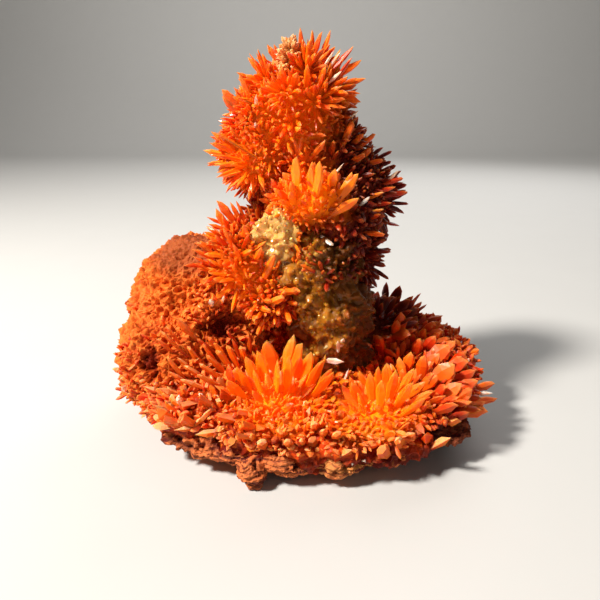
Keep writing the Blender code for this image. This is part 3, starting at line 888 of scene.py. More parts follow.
# leading crystals, each placed by where it shows in the photograph: shape, root and tip pixel, how much
# nearer the tip is in mm, width in pixels, flatness, tone and, where they aren't 0, painted shade and dust
leadingCrystals = {
    "crownCrystals": [
        ("lance", (280, 68), (270, 46), 1, 6, 0.6, 0.45), ("lance", (289, 66), (279, 44), 2, 7, 0.6, 0.3),
        ("lance", (302, 45), (300, 27), 1, 6, 0.6, 0.35), ("lance", (317, 57), (322, 31), 2, 7, 0.6, 0.5),
        ("blade", (324, 57), (331, 30), 2, 8, 0.5, 0.6),
        ("lance", (335, 66), (341, 49), 3, 5, 0.5, 0.95, 0, 0.3),
        ("lance", (342, 62), (354, 46), 1, 6, 0.6, 0.15, 0.2),
        ("lance", (345, 74), (362, 60), 1, 7, 0.6, 0.5), ("lance", (349, 85), (366, 78), 1, 7, 0.6, 0.6),
        ("blade", (240, 109), (222, 89), 1, 10, 0.45, 0.5),
        ("lance", (238, 114), (222, 96), 1, 7, 0.6, 0.45), ("lance", (251, 97), (239, 74), 1, 7, 0.6, 0.5),
        ("blade", (265, 82), (256, 64), 1, 8, 0.5, 0.6), ("lance", (270, 81), (266, 62), 1, 5, 0.6, 0.5),
        ("lance", (296, 90), (288, 68), 5, 7, 0.6, 0.25), ("lance", (306, 88), (308, 64), 5, 7, 0.6, 0.3),
        ("blade", (318, 86), (326, 66), 5, 7, 0.5, 0.55),
    ],
    "columnCrystals": [
        ("blade", (297, 189), (296, 156), 1, 13, 0.4, 0.6),
        ("blade", (314, 198), (321, 161), 2, 13, 0.4, 0.7),
        ("blade", (311, 192), (311, 166), 2, 9, 0.45, 0.65),
        ("blade", (330, 191), (336, 169), 2, 11, 0.45, 0.6),
        ("blade", (338, 200), (358, 173), 1, 12, 0.4, 0.7),
        ("lance", (343, 197), (352, 172), 2, 8, 0.5, 0.7),
        ("blade", (332, 215), (359, 198), 3, 10, 0.45, 0.7),
        ("lance", (298, 154), (302, 136), 1, 6, 0.6, 0.5),
        ("lance", (297, 154), (294, 138), 1, 6, 0.6, 0.45),
        ("lance", (310, 160), (326, 140), 2, 6, 0.6, 0.5),
        ("finger", (341, 148), (354, 120), 1, 8, 0.6, 0.55),
        ("finger", (332, 153), (334, 140), 2, 6, 0.7, 0.5),
        ("finger", (351, 146), (364, 133), 1, 6, 0.7, 0.45),
        ("finger", (358, 149), (376, 133), 1, 6, 0.7, 0.5),
        ("finger", (358, 160), (372, 148), 1, 7, 0.7, 0.45),
        ("finger", (350, 163), (366, 154), 2, 7, 0.7, 0.45),
        ("finger", (366, 164), (384, 160), 1, 6, 0.7, 0.4),
        ("finger", (383, 184), (404, 178), 1, 6, 0.7, 0.35, 0.1),
        ("lance", (373, 193), (396, 187), 1, 5, 0.6, 0.3, 0.15),
        ("lance", (367, 199), (384, 192), 2, 5, 0.5, 0.95, 0, 0.5),
        ("lance", (369, 213), (384, 209), 2, 4, 0.5, 0.95, 0, 0.6),
        ("finger", (365, 233), (386, 235), 2, 8, 0.7, 0.6, 0, 0.1),
        ("lance", (369, 219), (381, 214), 2, 5, 0.6, 0.4),
        ("finger", (356, 233), (368, 240), 2, 7, 0.6, 0.5),
        ("lance", (374, 241), (384, 243), 1, 5, 0.6, 0.4),
        ("lance", (372, 205), (392, 203), 1, 5, 0.6, 0.2, 0.3),
        ("lance", (385, 196), (408, 192), 0, 6, 0.6, 0.2, 0.55),
        ("lance", (380, 222), (400, 226), 0, 6, 0.6, 0.2, 0.6),
        ("needle", (268, 166), (216, 132), 3, 3, 0.7, 0.55),
        ("needle", (272, 166), (222, 137), 3, 3, 0.7, 0.6),
    ],
    "leftSprays": [
        ("blade", (235, 220), (217, 200), 1, 11, 0.4, 0.5),
        ("lance", (242, 223), (230, 202), 1, 7, 0.5, 0.5), ("lance", (247, 224), (236, 200), 1, 6, 0.6, 0.5),
        ("needle", (228, 224), (206, 217), 1, 5, 0.6, 0.5),
        ("needle", (229, 231), (208, 224), 1, 5, 0.6, 0.5),
        ("lance", (218, 256), (194, 242), 2, 6, 0.6, 0.5),
        ("lance", (216, 261), (192, 249), 2, 5, 0.6, 0.45),
        ("lance", (214, 267), (192, 256), 2, 5, 0.6, 0.4),
        ("lance", (215, 272), (194, 263), 2, 5, 0.6, 0.45),
        ("finger", (264, 279), (275, 254), 2, 8, 0.6, 0.6),
        ("finger", (277, 292), (298, 291), 2, 9, 0.7, 0.8),
        ("finger", (270, 303), (285, 297), 3, 9, 0.7, 0.9, 0, 0.2),
        ("finger", (259, 307), (272, 312), 3, 8, 0.7, 0.8),
        ("finger", (234, 296), (248, 282), 2, 7, 0.7, 0.5),
        ("lance", (233, 247), (223, 228), 2, 7, 0.6, 0.5),
        ("lance", (249, 243), (243, 224), 2, 7, 0.6, 0.55),
        ("lance", (241, 262), (233, 243), 3, 7, 0.6, 0.45),
        ("lance", (255, 262), (262, 247), 2, 6, 0.6, 0.4),
        ("finger", (246, 318), (238, 330), 3, 7, 0.7, 0.7),
    ],
    "starCrystals": [
        ("blade", (250, 392), (236, 366), 0, 13, 0.4, 0.5, 0.1),
        ("blade", (258, 388), (247, 356), 1, 13, 0.35, 0.55),
        ("blade", (268, 386), (258, 350), 1, 13, 0.35, 0.6),
        ("blade", (300, 388), (312, 352), 1, 14, 0.35, 0.6),
        ("blade", (306, 392), (323, 360), 2, 13, 0.35, 0.55),
        ("blade", (312, 398), (334, 372), 3, 12, 0.4, 0.4, 0.1),
        ("blade", (244, 398), (226, 380), 2, 12, 0.4, 0.5, 0, 0.1),
        ("blade", (286, 392), (290, 356), 3, 12, 0.35, 0.75),
        ("blade", (276, 394), (278, 360), 3, 13, 0.35, 0.6),
        ("blade", (262, 396), (254, 370), 3, 12, 0.4, 0.7),
        ("blade", (372, 404), (370, 372), 2, 11, 0.4, 0.6),
        ("blade", (388, 404), (396, 370), 2, 11, 0.4, 0.6),
        ("blade", (396, 408), (412, 382), 2, 11, 0.4, 0.5),
        ("blade", (402, 416), (426, 398), 2, 10, 0.4, 0.6, 0, 0.1),
        ("blade", (360, 406), (352, 382), 2, 10, 0.4, 0.6),
        ("blade", (380, 408), (382, 380), 3, 11, 0.4, 0.7),
        ("blade", (274, 380), (266, 340), 0, 20, 0.35, 0.35, 0.28),
        ("blade", (282, 378), (294, 334), 0, 12, 0.4, 0.85, 0, 0.25),
        ("blade", (288, 380), (302, 342), 1, 15, 0.35, 0.6),
        ("blade", (291, 386), (302, 356), 2, 11, 0.35, 0.1, 0.3),
        ("blade", (310, 374), (318, 348), 1, 8, 0.4, 0.6),
        ("blade", (316, 378), (326, 354), 1, 9, 0.4, 0.6, 0, 0.1),
        ("blade", (314, 396), (332, 368), 2, 9, 0.4, 0.2, 0.35),
        ("blade", (233, 390), (228, 364), 1, 13, 0.4, 0.1, 0.4),
        ("blade", (254, 380), (242, 357), 1, 9, 0.4, 0.55),
        ("blade", (262, 376), (253, 351), 0, 9, 0.4, 0.5), ("blade", (246, 386), (231, 371), 1, 9, 0.4, 0.6),
        ("blade", (383, 399), (386, 364), 1, 9, 0.4, 0.6),
        ("blade", (378, 398), (378, 366), 1, 8, 0.4, 0.55),
        ("blade", (398, 396), (414, 368), 1, 9, 0.4, 0.6, 0, 0.1),
        ("blade", (390, 400), (400, 376), 2, 8, 0.4, 0.7), ("blade", (366, 397), (360, 370), 1, 8, 0.4, 0.6),
        ("blade", (357, 400), (350, 376), 1, 8, 0.4, 0.55),
    ],
    "edgeCrystals": [
        ("chip", (210, 406), (196, 397), 2, 11, 0.6, 0.7, 0, 0.7),
        ("chip", (193, 426), (179, 416), 3, 12, 0.6, 0.6, 0, 0.8),
        ("wedge", (208, 412), (192, 428), 3, 8, 0.6, 0.8, 0, 0.8),
        ("chip", (232, 420), (214, 416), 3, 9, 0.6, 0.8, 0, 0.8),
        ("chip", (251, 413), (234, 411), 2, 9, 0.6, 0.8, 0, 0.6),
        ("chip", (254, 428), (238, 423), 3, 10, 0.6, 0.5, 0, 0.4),
        ("wedge", (216, 432), (195, 435), 3, 8, 0.6, 0.8, 0, 0.9),
        ("wedge", (196, 428), (174, 430), 3, 8, 0.5, 0.9, 0, 1.0),
        ("chip", (192, 404), (178, 407), 3, 10, 0.6, 0.7, 0, 0.7),
        ("chip", (230, 400), (217, 392), 2, 11, 0.5, 0.1, 0.4),
        ("wedge", (232, 394), (214, 385), 1, 10, 0.5, 0.6, 0, 0.2),
        ("wedge", (176, 395), (158, 388), 2, 9, 0.6, 0.7, 0, 0.8),
        ("wedge", (160, 392), (143, 387), 2, 9, 0.6, 0.8, 0, 0.9),
        ("wedge", (168, 413), (152, 404), 2, 9, 0.6, 0.7, 0, 0.9),
        ("chip", (178, 424), (161, 418), 2, 12, 0.6, 0.6, 0, 0.9),
        ("chip", (250, 438), (233, 434), 3, 8, 0.6, 0.7, 0, 0.7),
        ("tablet", (316, 428), (313, 424), 4, 11, 0.7, 0.8, 0, 0.6),
        ("tablet", (325, 434), (322, 431), 4, 10, 0.6, 0.9, 0, 0.8),
        ("tablet", (338, 437), (336, 433), 4, 12, 0.6, 0.8, 0, 0.7),
        ("tablet", (303, 443), (301, 439), 3, 7, 0.9, 0.8, 0, 0.6),
        ("tablet", (264, 446), (261, 441), 3, 12, 0.7, 0.7, 0, 0.9),
        ("tablet", (276, 443), (274, 438), 3, 9, 0.7, 0.2, 0.6),
        ("tablet", (290, 444), (286, 441), 3, 9, 0.8, 0.6, 0, 0.9),
        ("tablet", (402, 444), (397, 439), 3, 13, 0.6, 0.8, 0, 0.8),
        ("tablet", (386, 455), (380, 448), 3, 15, 0.7, 0.7, 0, 0.4),
        ("wedge", (430, 440), (425, 434), 3, 11, 0.6, 0.3, 0.1),
        ("chip", (455, 429), (458, 424), 3, 9, 0.8, 0.9, 0, 0.5),
        ("wedge", (444, 440), (451, 437), 3, 8, 0.8, 0.9, 0, 0.7),
        ("wedge", (446, 423), (443, 418), 3, 8, 0.8, 0.8, 0, 0.4),
        ("blade", (452, 412), (470, 396), 2, 12, 0.4, 0.15, 0.6),
    ],
    "fanCrystals": [
        ("blade", (405, 372), (412, 352), 1, 11, 0.4, 0.4, 0, 0.1),
        ("blade", (440, 398), (462, 384), 1, 15, 0.35, 0.4, 0, 0.3),
        ("blade", (455, 392), (478, 380), 0, 14, 0.35, 0.3, 0.1, 0.3),
        ("blade", (462, 410), (486, 402), 0, 14, 0.35, 0.4, 0.2, 0.4),
        ("blade", (444, 372), (468, 360), 0, 15, 0.35, 0.4, 0, 0.2),
        ("blade", (452, 382), (476, 371), 0, 13, 0.35, 0.3, 0.15, 0.2),
        ("blade", (436, 352), (456, 342), 0, 12, 0.4, 0.4, 0, 0.2),
        ("blade", (424, 350), (436, 336), 1, 12, 0.4, 0.4, 0, 0.2),
        ("blade", (414, 356), (420, 338), 1, 11, 0.4, 0.4, 0, 0.1),
        ("blade", (426, 404), (446, 396), 2, 13, 0.4, 0.5, 0, 0.3),
        ("blade", (436, 412), (458, 404), 2, 14, 0.35, 0.4, 0, 0.3),
        ("blade", (446, 420), (470, 413), 1, 14, 0.35, 0.2, 0.4, 0.2),
        ("blade", (418, 390), (438, 376), 1, 13, 0.35, 0.5, 0, 0.1),
        ("blade", (424, 370), (440, 354), 1, 13, 0.35, 0.4, 0, 0.1),
        ("blade", (421, 379), (424, 355), 1, 13, 0.4, 0.45, 0.1),
        ("blade", (405, 398), (425, 382), 2, 10, 0.4, 0.7, 0, 0.2),
        ("blade", (408, 406), (432, 391), 2, 10, 0.4, 0.75, 0, 0.2),
        ("blade", (432, 381), (456, 366), 1, 22, 0.35, 0.4, 0.05, 0.1),
        ("blade", (429, 361), (450, 346), 0, 18, 0.35, 0.45, 0.05, 0.1),
        ("blade", (450, 366), (466, 352), 0, 13, 0.4, 0.3, 0.1),
        ("blade", (478, 394), (495, 383), 0, 12, 0.5, 0.6, 0.1, 0.5),
        ("blade", (480, 408), (498, 399), 0, 12, 0.5, 0.6, 0.1, 0.5),
        ("blade", (466, 422), (488, 410), 1, 16, 0.4, 0.6, 0.1, 0.4),
        ("blade", (450, 403), (473, 390), 1, 16, 0.4, 0.35, 0.2, 0.2),
        ("finger", (423, 333), (436, 322), 0, 12, 0.6, 0.5, 0.1, 0.2),
        ("finger", (425, 338), (444, 330), 0, 10, 0.6, 0.5, 0.05, 0.2),
        ("finger", (432, 346), (451, 338), 0, 10, 0.6, 0.5, 0.05, 0.2),
        ("blade", (398, 338), (402, 312), 0, 12, 0.5, 0.35, 0.15),
        ("blade", (394, 338), (398, 320), 1, 10, 0.5, 0.35, 0.1),
        ("blade", (382, 349), (397, 357), 3, 10, 0.5, 0.5, 0, 0.1),
        ("tablet", (380, 351), (378, 334), 1, 14, 0.5, 0.35, 0.05),
        ("tablet", (366, 357), (366, 343), 2, 18, 0.6, 0.4, 0.05),
    ],
}
# the fan of fingers where the hump meets the plate
humpFan = [
    ("finger", (234, 372), (216, 349), 2, 9, 0.6, 0.8, 0, 0.3),
    ("finger", (227, 375), (205, 354), 2, 9, 0.6, 0.7, 0, 0.4),
    ("finger", (223, 380), (198, 363), 2, 9, 0.6, 0.8, 0, 0.5),
    ("finger", (219, 386), (196, 374), 3, 9, 0.6, 0.8, 0, 0.5),
    ("finger", (238, 368), (227, 344), 1, 8, 0.6, 0.7, 0, 0.2),
    ("finger", (212, 372), (190, 352), 2, 8, 0.6, 0.7, 0, 0.6),
    ("finger", (207, 380), (183, 365), 2, 9, 0.6, 0.8, 0, 0.7),
    ("finger", (216, 362), (202, 343), 2, 8, 0.6, 0.4, 0, 0.4),
    ("finger", (246, 366), (240, 345), 1, 8, 0.6, 0.7, 0, 0.1),
    ("finger", (203, 388), (179, 379), 2, 9, 0.6, 0.8, 0, 0.8),
    ("lance", (197, 376), (177, 357), 2, 8, 0.6, 0.8, 0, 0.7),
    ("lance", (191, 385), (167, 371), 2, 8, 0.6, 0.7, 0, 0.8),
    ("finger", (201, 366), (187, 345), 2, 8, 0.6, 0.7, 0, 0.6),
    ("finger", (229, 364), (213, 341), 1, 7, 0.6, 0.7),
    ("finger", (222, 354), (208, 336), 2, 7, 0.6, 0.4, 0.1),
    ("lance", (184, 378), (166, 356), 2, 7, 0.6, 0.8, 0, 0.8),
    ("lance", (240, 358), (232, 338), 1, 7, 0.6, 0.3, 0.3),
    ("finger", (214, 352), (196, 338), 2, 7, 0.6, 0.3, 0.2, 0.2),
    ("finger", (238, 346), (226, 330), 2, 7, 0.6, 0.2, 0.4),
    ("finger", (250, 352), (248, 334), 1, 7, 0.6, 0.3, 0.3),
    ("lance", (172, 352), (156, 338), 2, 7, 0.5, 0.6, 0, 0.8),
    ("lance", (180, 344), (166, 326), 2, 7, 0.5, 0.6, 0, 0.8),
    ("blade", (182, 352), (160, 330), 2, 9, 0.5, 0.7, 0, 0.6),
    ("blade", (196, 340), (176, 318), 2, 9, 0.5, 0.7, 0, 0.5),
]
leadValues = {"seed": 800, "fanSeed": 802, "sunk": 1.6, "search": (80, 220), "unsure": 0.3}
eye = Vector(cameraValues["eye"])


def treeOf(points, mesh):
    faces = [face.vertices[:] for face in mesh.polygons]
    return BVHTree.FromPolygons([Vector(point) for point in points], faces)


def sight(pixel):
    # the way from the eye through a pixel of the photograph, one long along the view
    middle = cameraValues["frame"] / 2
    right, up = pixel[0] - middle, middle - pixel[1]
    level = math.atan(cameraValues["drop"])
    ahead = Vector((0, math.cos(level), -math.sin(level)))
    above = Vector((0, math.sin(level), math.cos(level)))
    return ahead + (Vector((1, 0, 0)) * right + above * up) / cameraValues["focal"]


def atDepth(pixel, y):
    # the place on a sight line that stands at a depth
    way = sight(pixel)
    return eye + way * ((y - eye.y) / way.y)


def nearestOn(trees, place):
    found = [tree.find_nearest(place) for tree in trees]
    return min(found, key=lambda hit: hit[3])[0]


def meet(pixel, trees):
    # where the sight line meets the model, or the place of it that the line passes nearest to
    way = sight(pixel).normalized()
    hits = [tree.ray_cast(eye, way) for tree in trees]
    hits = [hit[3] for hit in hits if hit[0]]
    if hits:
        return eye + way * min(hits)
    tried = [eye + way * distance for distance in range(*leadValues["search"])]
    gaps = [(nearestOn(trees, place) - place).length for place in tried]
    return nearestOn(trees, tried[int(np.argmin(gaps))])


def lead(crop, rows, trees, chance, facing=(1, 0.3, 0), turn=math.pi / 2 - 0.8):
    # facing and turn say how the flat side of each crystal lies
    for kind, rootPixel, tipPixel, nearer, width, flat, tone, *marks in rows:
        deep, dust = (*marks, 0, 0)[:2]
        start = meet(rootPixel, trees)
        tip = atDepth(tipPixel, start.y - nearer)
        way = (tip - start).normalized()
        root = start - way * leadValues["sunk"]
        paintedGlow = growthLooks(root, (0, 0, 1), chance)[1]
        wide = width * (start.y - eye.y) / sight(rootPixel).y / cameraValues["focal"]
        crop.add(kind, root, way, (tip - root).length, wide, flat, facing=Vector(facing),
            spin=chance.normal(turn, leadValues["unsure"]), looks=(tone, paintedGlow, deep, dust))


skinTree = treeOf(points, growthMesh)
chance = np.random.default_rng(leadValues["seed"])
for name, rows in leadingCrystals.items():
    faced = (habits["chips"]["faceTo"], 0) if name == "edgeCrystals" else ()
    lead(crops[name], rows, [skinTree], chance, *faced)

for number, (name, crop) in enumerate(crops.items()):
    mesh = crop.mesh(name, np.random.default_rng(seeds["meshes"] + number))
    material = glowingStuff if name == "starCrystals" else crystalStuff
    finished(name, mesh, material, "orange_calcite", "crystal_growth")
    print(name + ":", len(crop.rows), "crystals,", len(mesh.polygons), "faces")

# the matte hump at the left, with its ring pits and worm-like ridges
humpValues = {"voxel": 0.4, "warp": 0.8, "warpGrain": 2.5, "rough": 2.0, "grain": 8, "seed": 1100,
    "rings": {"apart": 2.8, "share": 0.6, "radius": (0.85, 1.35), "height": 1.15, "wall": 0.3, "pit": 0.1,
        "pitWidth": 0.6},
    "worms": {"cell": (2.2, 2.2, 4.0), "turn": 0.6, "height": 0.75, "sharp": 2.4},
    "stubs": {"kinds": ("lance", "wedge", "blade", "finger"), "length": (2.6, 4.8), "width": (0.8, 1.9),
        "apart": 1.6, "tuft": {"apart": 6.5, "depth": 3}, "fan": 0.85, "wild": 0.3, "sunk": 1.2,
        "flat": (0.4, 0.8), "lean": (-0.1, -0.1, 0.35)},
    "stubsAbove": 6, "stubsBelow": 20, "smoothPatch": ((-30, -3, 50), 12), "orangePatch": ((-22, -12, 38), 7)}
# the hollow in the hump's front and the one beside the column, both painted in shade: centre, radius and
# depth
frontHollow = ((-37.4, -22, 24.2), 3.4, 2.6)
sideHollow = ((-20.5, -12, 30), 4.6, 0.7)


def wormRelief(point):
    # ridges that run down the hump, as its own crystals do
    worms = humpValues["worms"]
    warp = noise.noise_vector(point / humpValues["warpGrain"]) * humpValues["warp"]
    turned = Matrix.Rotation(worms["turn"], 3, "Y") @ point + warp
    scaled = Vector([value / size for value, size in zip(turned, worms["cell"])])
    return (1 - min(abs(noise.fractal(scaled, 0.7, 2.1, 3)) * worms["sharp"], 1)) * worms["height"]


def ringRelief(points, centres, chance):
    # raised rings round small pits, and where they cover the ridges
    rings = humpValues["rings"]
    total = np.zeros(len(points))
    covered = np.zeros(len(points))
    for centre in centres:
        radius = chance.uniform(*rings["radius"])
        gap = away(points, centre)
        close = gap < radius + 3 * rings["wall"]
        wall = np.exp(-((gap[close] - radius) / rings["wall"]) ** 2)
        pit = np.exp(-(gap[close] / (radius * rings["pitWidth"])) ** 2)
        total[close] = np.maximum(total[close], wall * rings["height"]) - pit * rings["pit"]
        covered[close] = np.maximum(covered[close], np.maximum(wall, pit))
    return total, covered


humpMesh = lumpSkin("humpCrust", humpLumps, humpValues["voxel"])
humpPoints, humpNormals = readPoints(humpMesh)
chance = np.random.default_rng(humpValues["seed"])
ringCentres = humpPoints[spread(humpPoints, humpValues["rings"]["apart"], chance)]
ringCentres = ringCentres[chance.random(len(ringCentres)) < humpValues["rings"]["share"]]
rings, covered = ringRelief(humpPoints, ringCentres, chance)
relief = rings + each(humpPoints, wormRelief) * (1 - covered)
patchCentre, patchRadius = humpValues["smoothPatch"]
brown = 1 - ramp(away(humpPoints, patchCentre), patchRadius * 0.6, patchRadius)
relief *= 1 - brown * 0.7
hollow, sunken = np.zeros(len(humpPoints)), np.zeros(len(humpPoints))
ragged = ripple(humpPoints, 2.5) * 2.2                       # the uneven edge of the hollows
for pitCentre, pitRadius, pitDepth in (frontHollow, sideHollow):
    gap = np.clip(away(humpPoints, pitCentre) + ragged, 0, None)
    inside = np.exp(-(gap / pitRadius) ** 4)
    hollow, sunken = np.maximum(hollow, inside), np.maximum(sunken, inside * pitDepth)
swell = ripple(humpPoints, humpValues["grain"], 4) * humpValues["rough"]
humpPoints += humpNormals * (relief + swell - sunken)[:, None]
writePoints(humpMesh, humpPoints)
paint(humpMesh, "relief", ramp(relief, -0.6, 0.65) * (1 - hollow * 0.8))
# painted shade in the hollows
paint(humpMesh, "deep", hollow)
paint(humpMesh, "brown", brown)
finished("humpCrust", humpMesh, humpStuff, "orange_calcite", "crystal_growth")


def humpLooks(point, way, chance):
    # sugary stubs, in painted shade and bare in the side hollow, a few darkened at random
    near = clamp01(1.5 - math.dist(point, sideHollow[0]) / sideHollow[1])
    deep = max(0.35 if chance.random() < 0.12 else 0, near * 0.75)
    return clamp01(chance.normal(0.4, 0.2)), 0, deep, chance.uniform(0.7, 1) * (1 - near)


# stubs on the foot of the hump and on its orange patch, where no other growth lies over it
free = (humpPoints[:, 2] > humpValues["stubsAbove"]) & (brown < 0.6)
free &= (hollow < 0.25) | (humpPoints[:, 0] > -28)
free &= ~within(humpPoints, allGrowth, 0.95)
stubPoints, stubNormals = humpPoints[free], unit(humpNormals[free])
patchy = ripple(stubPoints, 7)
orangeCentre, orangeRadius = humpValues["orangePatch"]
low = stubPoints[:, 2] + patchy * 16 < humpValues["stubsBelow"]
low |= away(stubPoints, orangeCentre) + patchy * 4 < orangeRadius
stubs = Crop()
scatter(stubs, stubPoints[low], stubNormals[low], humpValues["stubs"], chance, humpLooks)
trees = [skinTree, treeOf(humpPoints, humpMesh)]
lead(stubs, humpFan, trees, np.random.default_rng(leadValues["fanSeed"]))
finished("humpStubs", stubs.mesh("humpStubs", chance), crystalStuff, "orange_calcite", "crystal_growth")
print("hump:", len(humpMesh.polygons), "faces,", len(stubs.rows), "stubs")

# the cream core: a lumpy stem under a coat of round grains of many sizes
coreValues = {"voxel": 0.42, "rough": 3.0, "grain": 7, "bubble": 2.2, "bubbleHeight": 1.4, "apart": 1.6,
    "size": (0.9, 2.3), "sunk": 0.68, "wild": 0.6, "beads": 0.6, "swarm": 5, "seed": 1200}
coreMesh = lumpSkin("coreStem", coreLumps, coreValues["voxel"])
corePoints, coreNormals = readPoints(coreMesh)
bubbles = each(corePoints / coreValues["bubble"], lambda point: noise.voronoi(point)[0][0])
knobs = ripple(corePoints, coreValues["grain"]) * coreValues["rough"]
knobs += (0.5 - bubbles) * coreValues["bubbleHeight"]
corePoints += coreNormals * knobs[:, None]
writePoints(coreMesh, corePoints)
corePoints, coreNormals = readPoints(coreMesh)


def shade(points):
    # how far a point stands in the hollow at the right of the core, which is painted in shade
    x, _, z = points.T
    return np.maximum(ramp(x, 10, 16), ramp(z, 35, 43) * ramp(x, 1, 8))


paint(coreMesh, "tone", np.clip(0.62 - bubbles * 0.5, 0, 1))
paint(coreMesh, "deep", shade(corePoints))
finished("coreStem", coreMesh, creamStuff, "cream_calcite", "calcite_core")
chance = np.random.default_rng(coreValues["seed"])
bareCore = ~within(corePoints, allGrowth, 0.9)
shown, shownNormals = corePoints[bareCore], coreNormals[bareCore]
shownShade = shade(shown)
swarm = ripple(shown, coreValues["swarm"])                   # the grains stand in swarms, large and pale
grains = Crop()
for number in spread(shown, coreValues["apart"], chance):
    way = unit(shownNormals[number] + chance.normal(size=3) * coreValues["wild"])
    width = partWay(coreValues["size"], chance.beta(1.5, 4) * clamp01(0.9 + swarm[number]))
    length = width * chance.uniform(0.8, 1.3)
    kind = "bead" if chance.random() < coreValues["beads"] else "grain"
    root = shown[number] - way * length * coreValues["sunk"]
    grains.add(kind, root, way, length, width, chance.uniform(0.75, 1),
        looks=(clamp01(chance.normal(0.45, 0.13) + swarm[number] * 0.7), 0, shownShade[number], 0))
grainMesh = grains.mesh("coreGrains", chance)
grainMesh.shade_smooth()
finished("coreGrains", grainMesh, creamStuff, "cream_calcite", "calcite_core")
print("core:", len(grains.rows), "grains")

# small orange crystals that creep over the core from the growth round it
fringeValues = {"kinds": ("lance", "stub", "finger"), "length": (1.8, 4.2), "width": (0.7, 1.5), "apart": 1.2,
    "tuft": {"apart": 5, "depth": 3}, "fan": 0.8, "wild": 0.35, "sunk": 0.7, "flat": (0.5, 0.9),
    "band": (-3, 0.9), "patch": 4, "patchy": 2.5, "over": ((9, -15, 53), 9), "seed": 1300}
overCentre, overRadius = fringeValues["over"]
gap = away(corePoints, overCentre) - overRadius
for lump in allGrowth:
    gap = np.minimum(gap, (away(corePoints, *lump[:2]) - 1) * np.mean(lump[1]))
gap += ripple(corePoints, fringeValues["patch"]) * fringeValues["patchy"]
inner, outer = fringeValues["band"]
fringed = (gap > inner) & (gap < outer)
fringe = Crop()


def fringeLooks(point, way, chance):
    # as the growth round it, with painted shade that grows towards the right
    tone, paintedGlow, deep, dust = growthLooks(point, way, chance)
    return tone, paintedGlow, max(deep, clamp01((point[0] + 2) / 8) * chance.uniform(0.3, 0.95)), dust


chance = np.random.default_rng(fringeValues["seed"])
scatter(fringe, corePoints[fringed], coreNormals[fringed], fringeValues, chance, fringeLooks)
fringeMesh = fringe.mesh("coreFringe", np.random.default_rng(fringeValues["seed"] + 1))
finished("coreFringe", fringeMesh, crystalStuff, "orange_calcite", "crystal_growth")
print("fringe:", len(fringe.rows), "crystals")

# clear crystals where glints show, their pale colour partly a painted glint: shape, root and tip pixel in the
# photograph, the depth of both, width
clearCrystals = [
    ("lance", (331, 64), (341, 51), (-6, -8), 1.2), ("lance", (327, 66), (334, 50), (-7, -9), 1.0),
    ("lance", (338, 80), (342, 71), (-9, -11), 1.0), ("stub", (354, 113), (359, 110), (-3, -4), 1.0),
    ("lance", (394, 174), (399, 170), (-2, -3), 0.9), ("lance", (361, 200), (370, 197), (-9, -11), 1.0),
    ("finger", (322, 238), (334, 246), (-13, -16), 1.6), ("stub", (212, 302), (212, 299), (-12, -14), 1.6),
    ("stub", (223, 300), (224, 297), (-12, -14), 1.4), ("stub", (123, 375), (119, 371), (-16, -18), 1.6),
    ("stub", (127, 389), (121, 387), (-18, -20), 1.8), ("tablet", (182, 401), (177, 397), (-28, -30), 2.0),
    ("tablet", (204, 397), (200, 394), (-27, -29), 1.8), ("stub", (272, 423), (272, 418), (-31, -32), 0.9),
    ("stub", (337, 347), (338, 340), (-15, -17), 1.7), ("stub", (342, 345), (344, 338), (-15, -17), 1.3),
    ("wedge", (325, 368), (344, 362), (-17, -19), 1.4), ("stub", (346, 372), (349, 368), (-16, -17), 1.2),
    ("stub", (397, 352), (397, 348), (-5, -7), 1.2), ("stub", (466, 364), (469, 358), (-7, -8), 1.0),
    ("blade", (484, 399), (493, 393), (-18, -18), 1.4), ("stub", (349, 463), (351, 459), (-37, -38.5), 1.4),
    ("stub", (363, 464), (365, 461), (-38, -39), 1.0), ("stub", (341, 168), (344, 163), (-12, -14), 0.9),
    ("stub", (253, 98), (256, 95), (-9, -11), 0.8), ("stub", (256, 126), (256, 122), (-11, -13), 1.0),
]
clear = Crop()
trees.append(treeOf(corePoints, coreMesh))
for kind, rootPixel, tipPixel, (rootDepth, tipDepth), width in clearCrystals:
    place, tip = atDepth(rootPixel, rootDepth), atDepth(tipPixel, tipDepth)
    root = nearestOn(trees, place)
    way = (tip - root).normalized()
    clear.add(kind, root - way, way, (tip - root).length + 1, width, 0.6)

# the sugary patch near the top of the crown
frostValues = {"centre": (-2.4, -2.8, 93.8), "radii": (2.8, 3.2, 5.0), "grains": 260, "width": (0.7, 1.4),
    "seed": 810}
chance = np.random.default_rng(frostValues["seed"])
for _ in range(frostValues["grains"]):
    way = unit(chance.normal(size=3))
    place = way * np.array(frostValues["radii"]) * chance.random() ** 0.4 + np.array(frostValues["centre"])
    width = chance.uniform(*frostValues["width"])
    kind = ("stub", "wedge")[chance.integers(2)]
    looks = (chance.uniform(0.4, 1), 0, 0, 1)
    clear.add(kind, place - way * width, way, width * 2, width, 0.7, looks=looks)
finished("clearCrystals", clear.mesh("clearCrystals", chance), clearStuff, "cream_calcite", "crystal_growth")


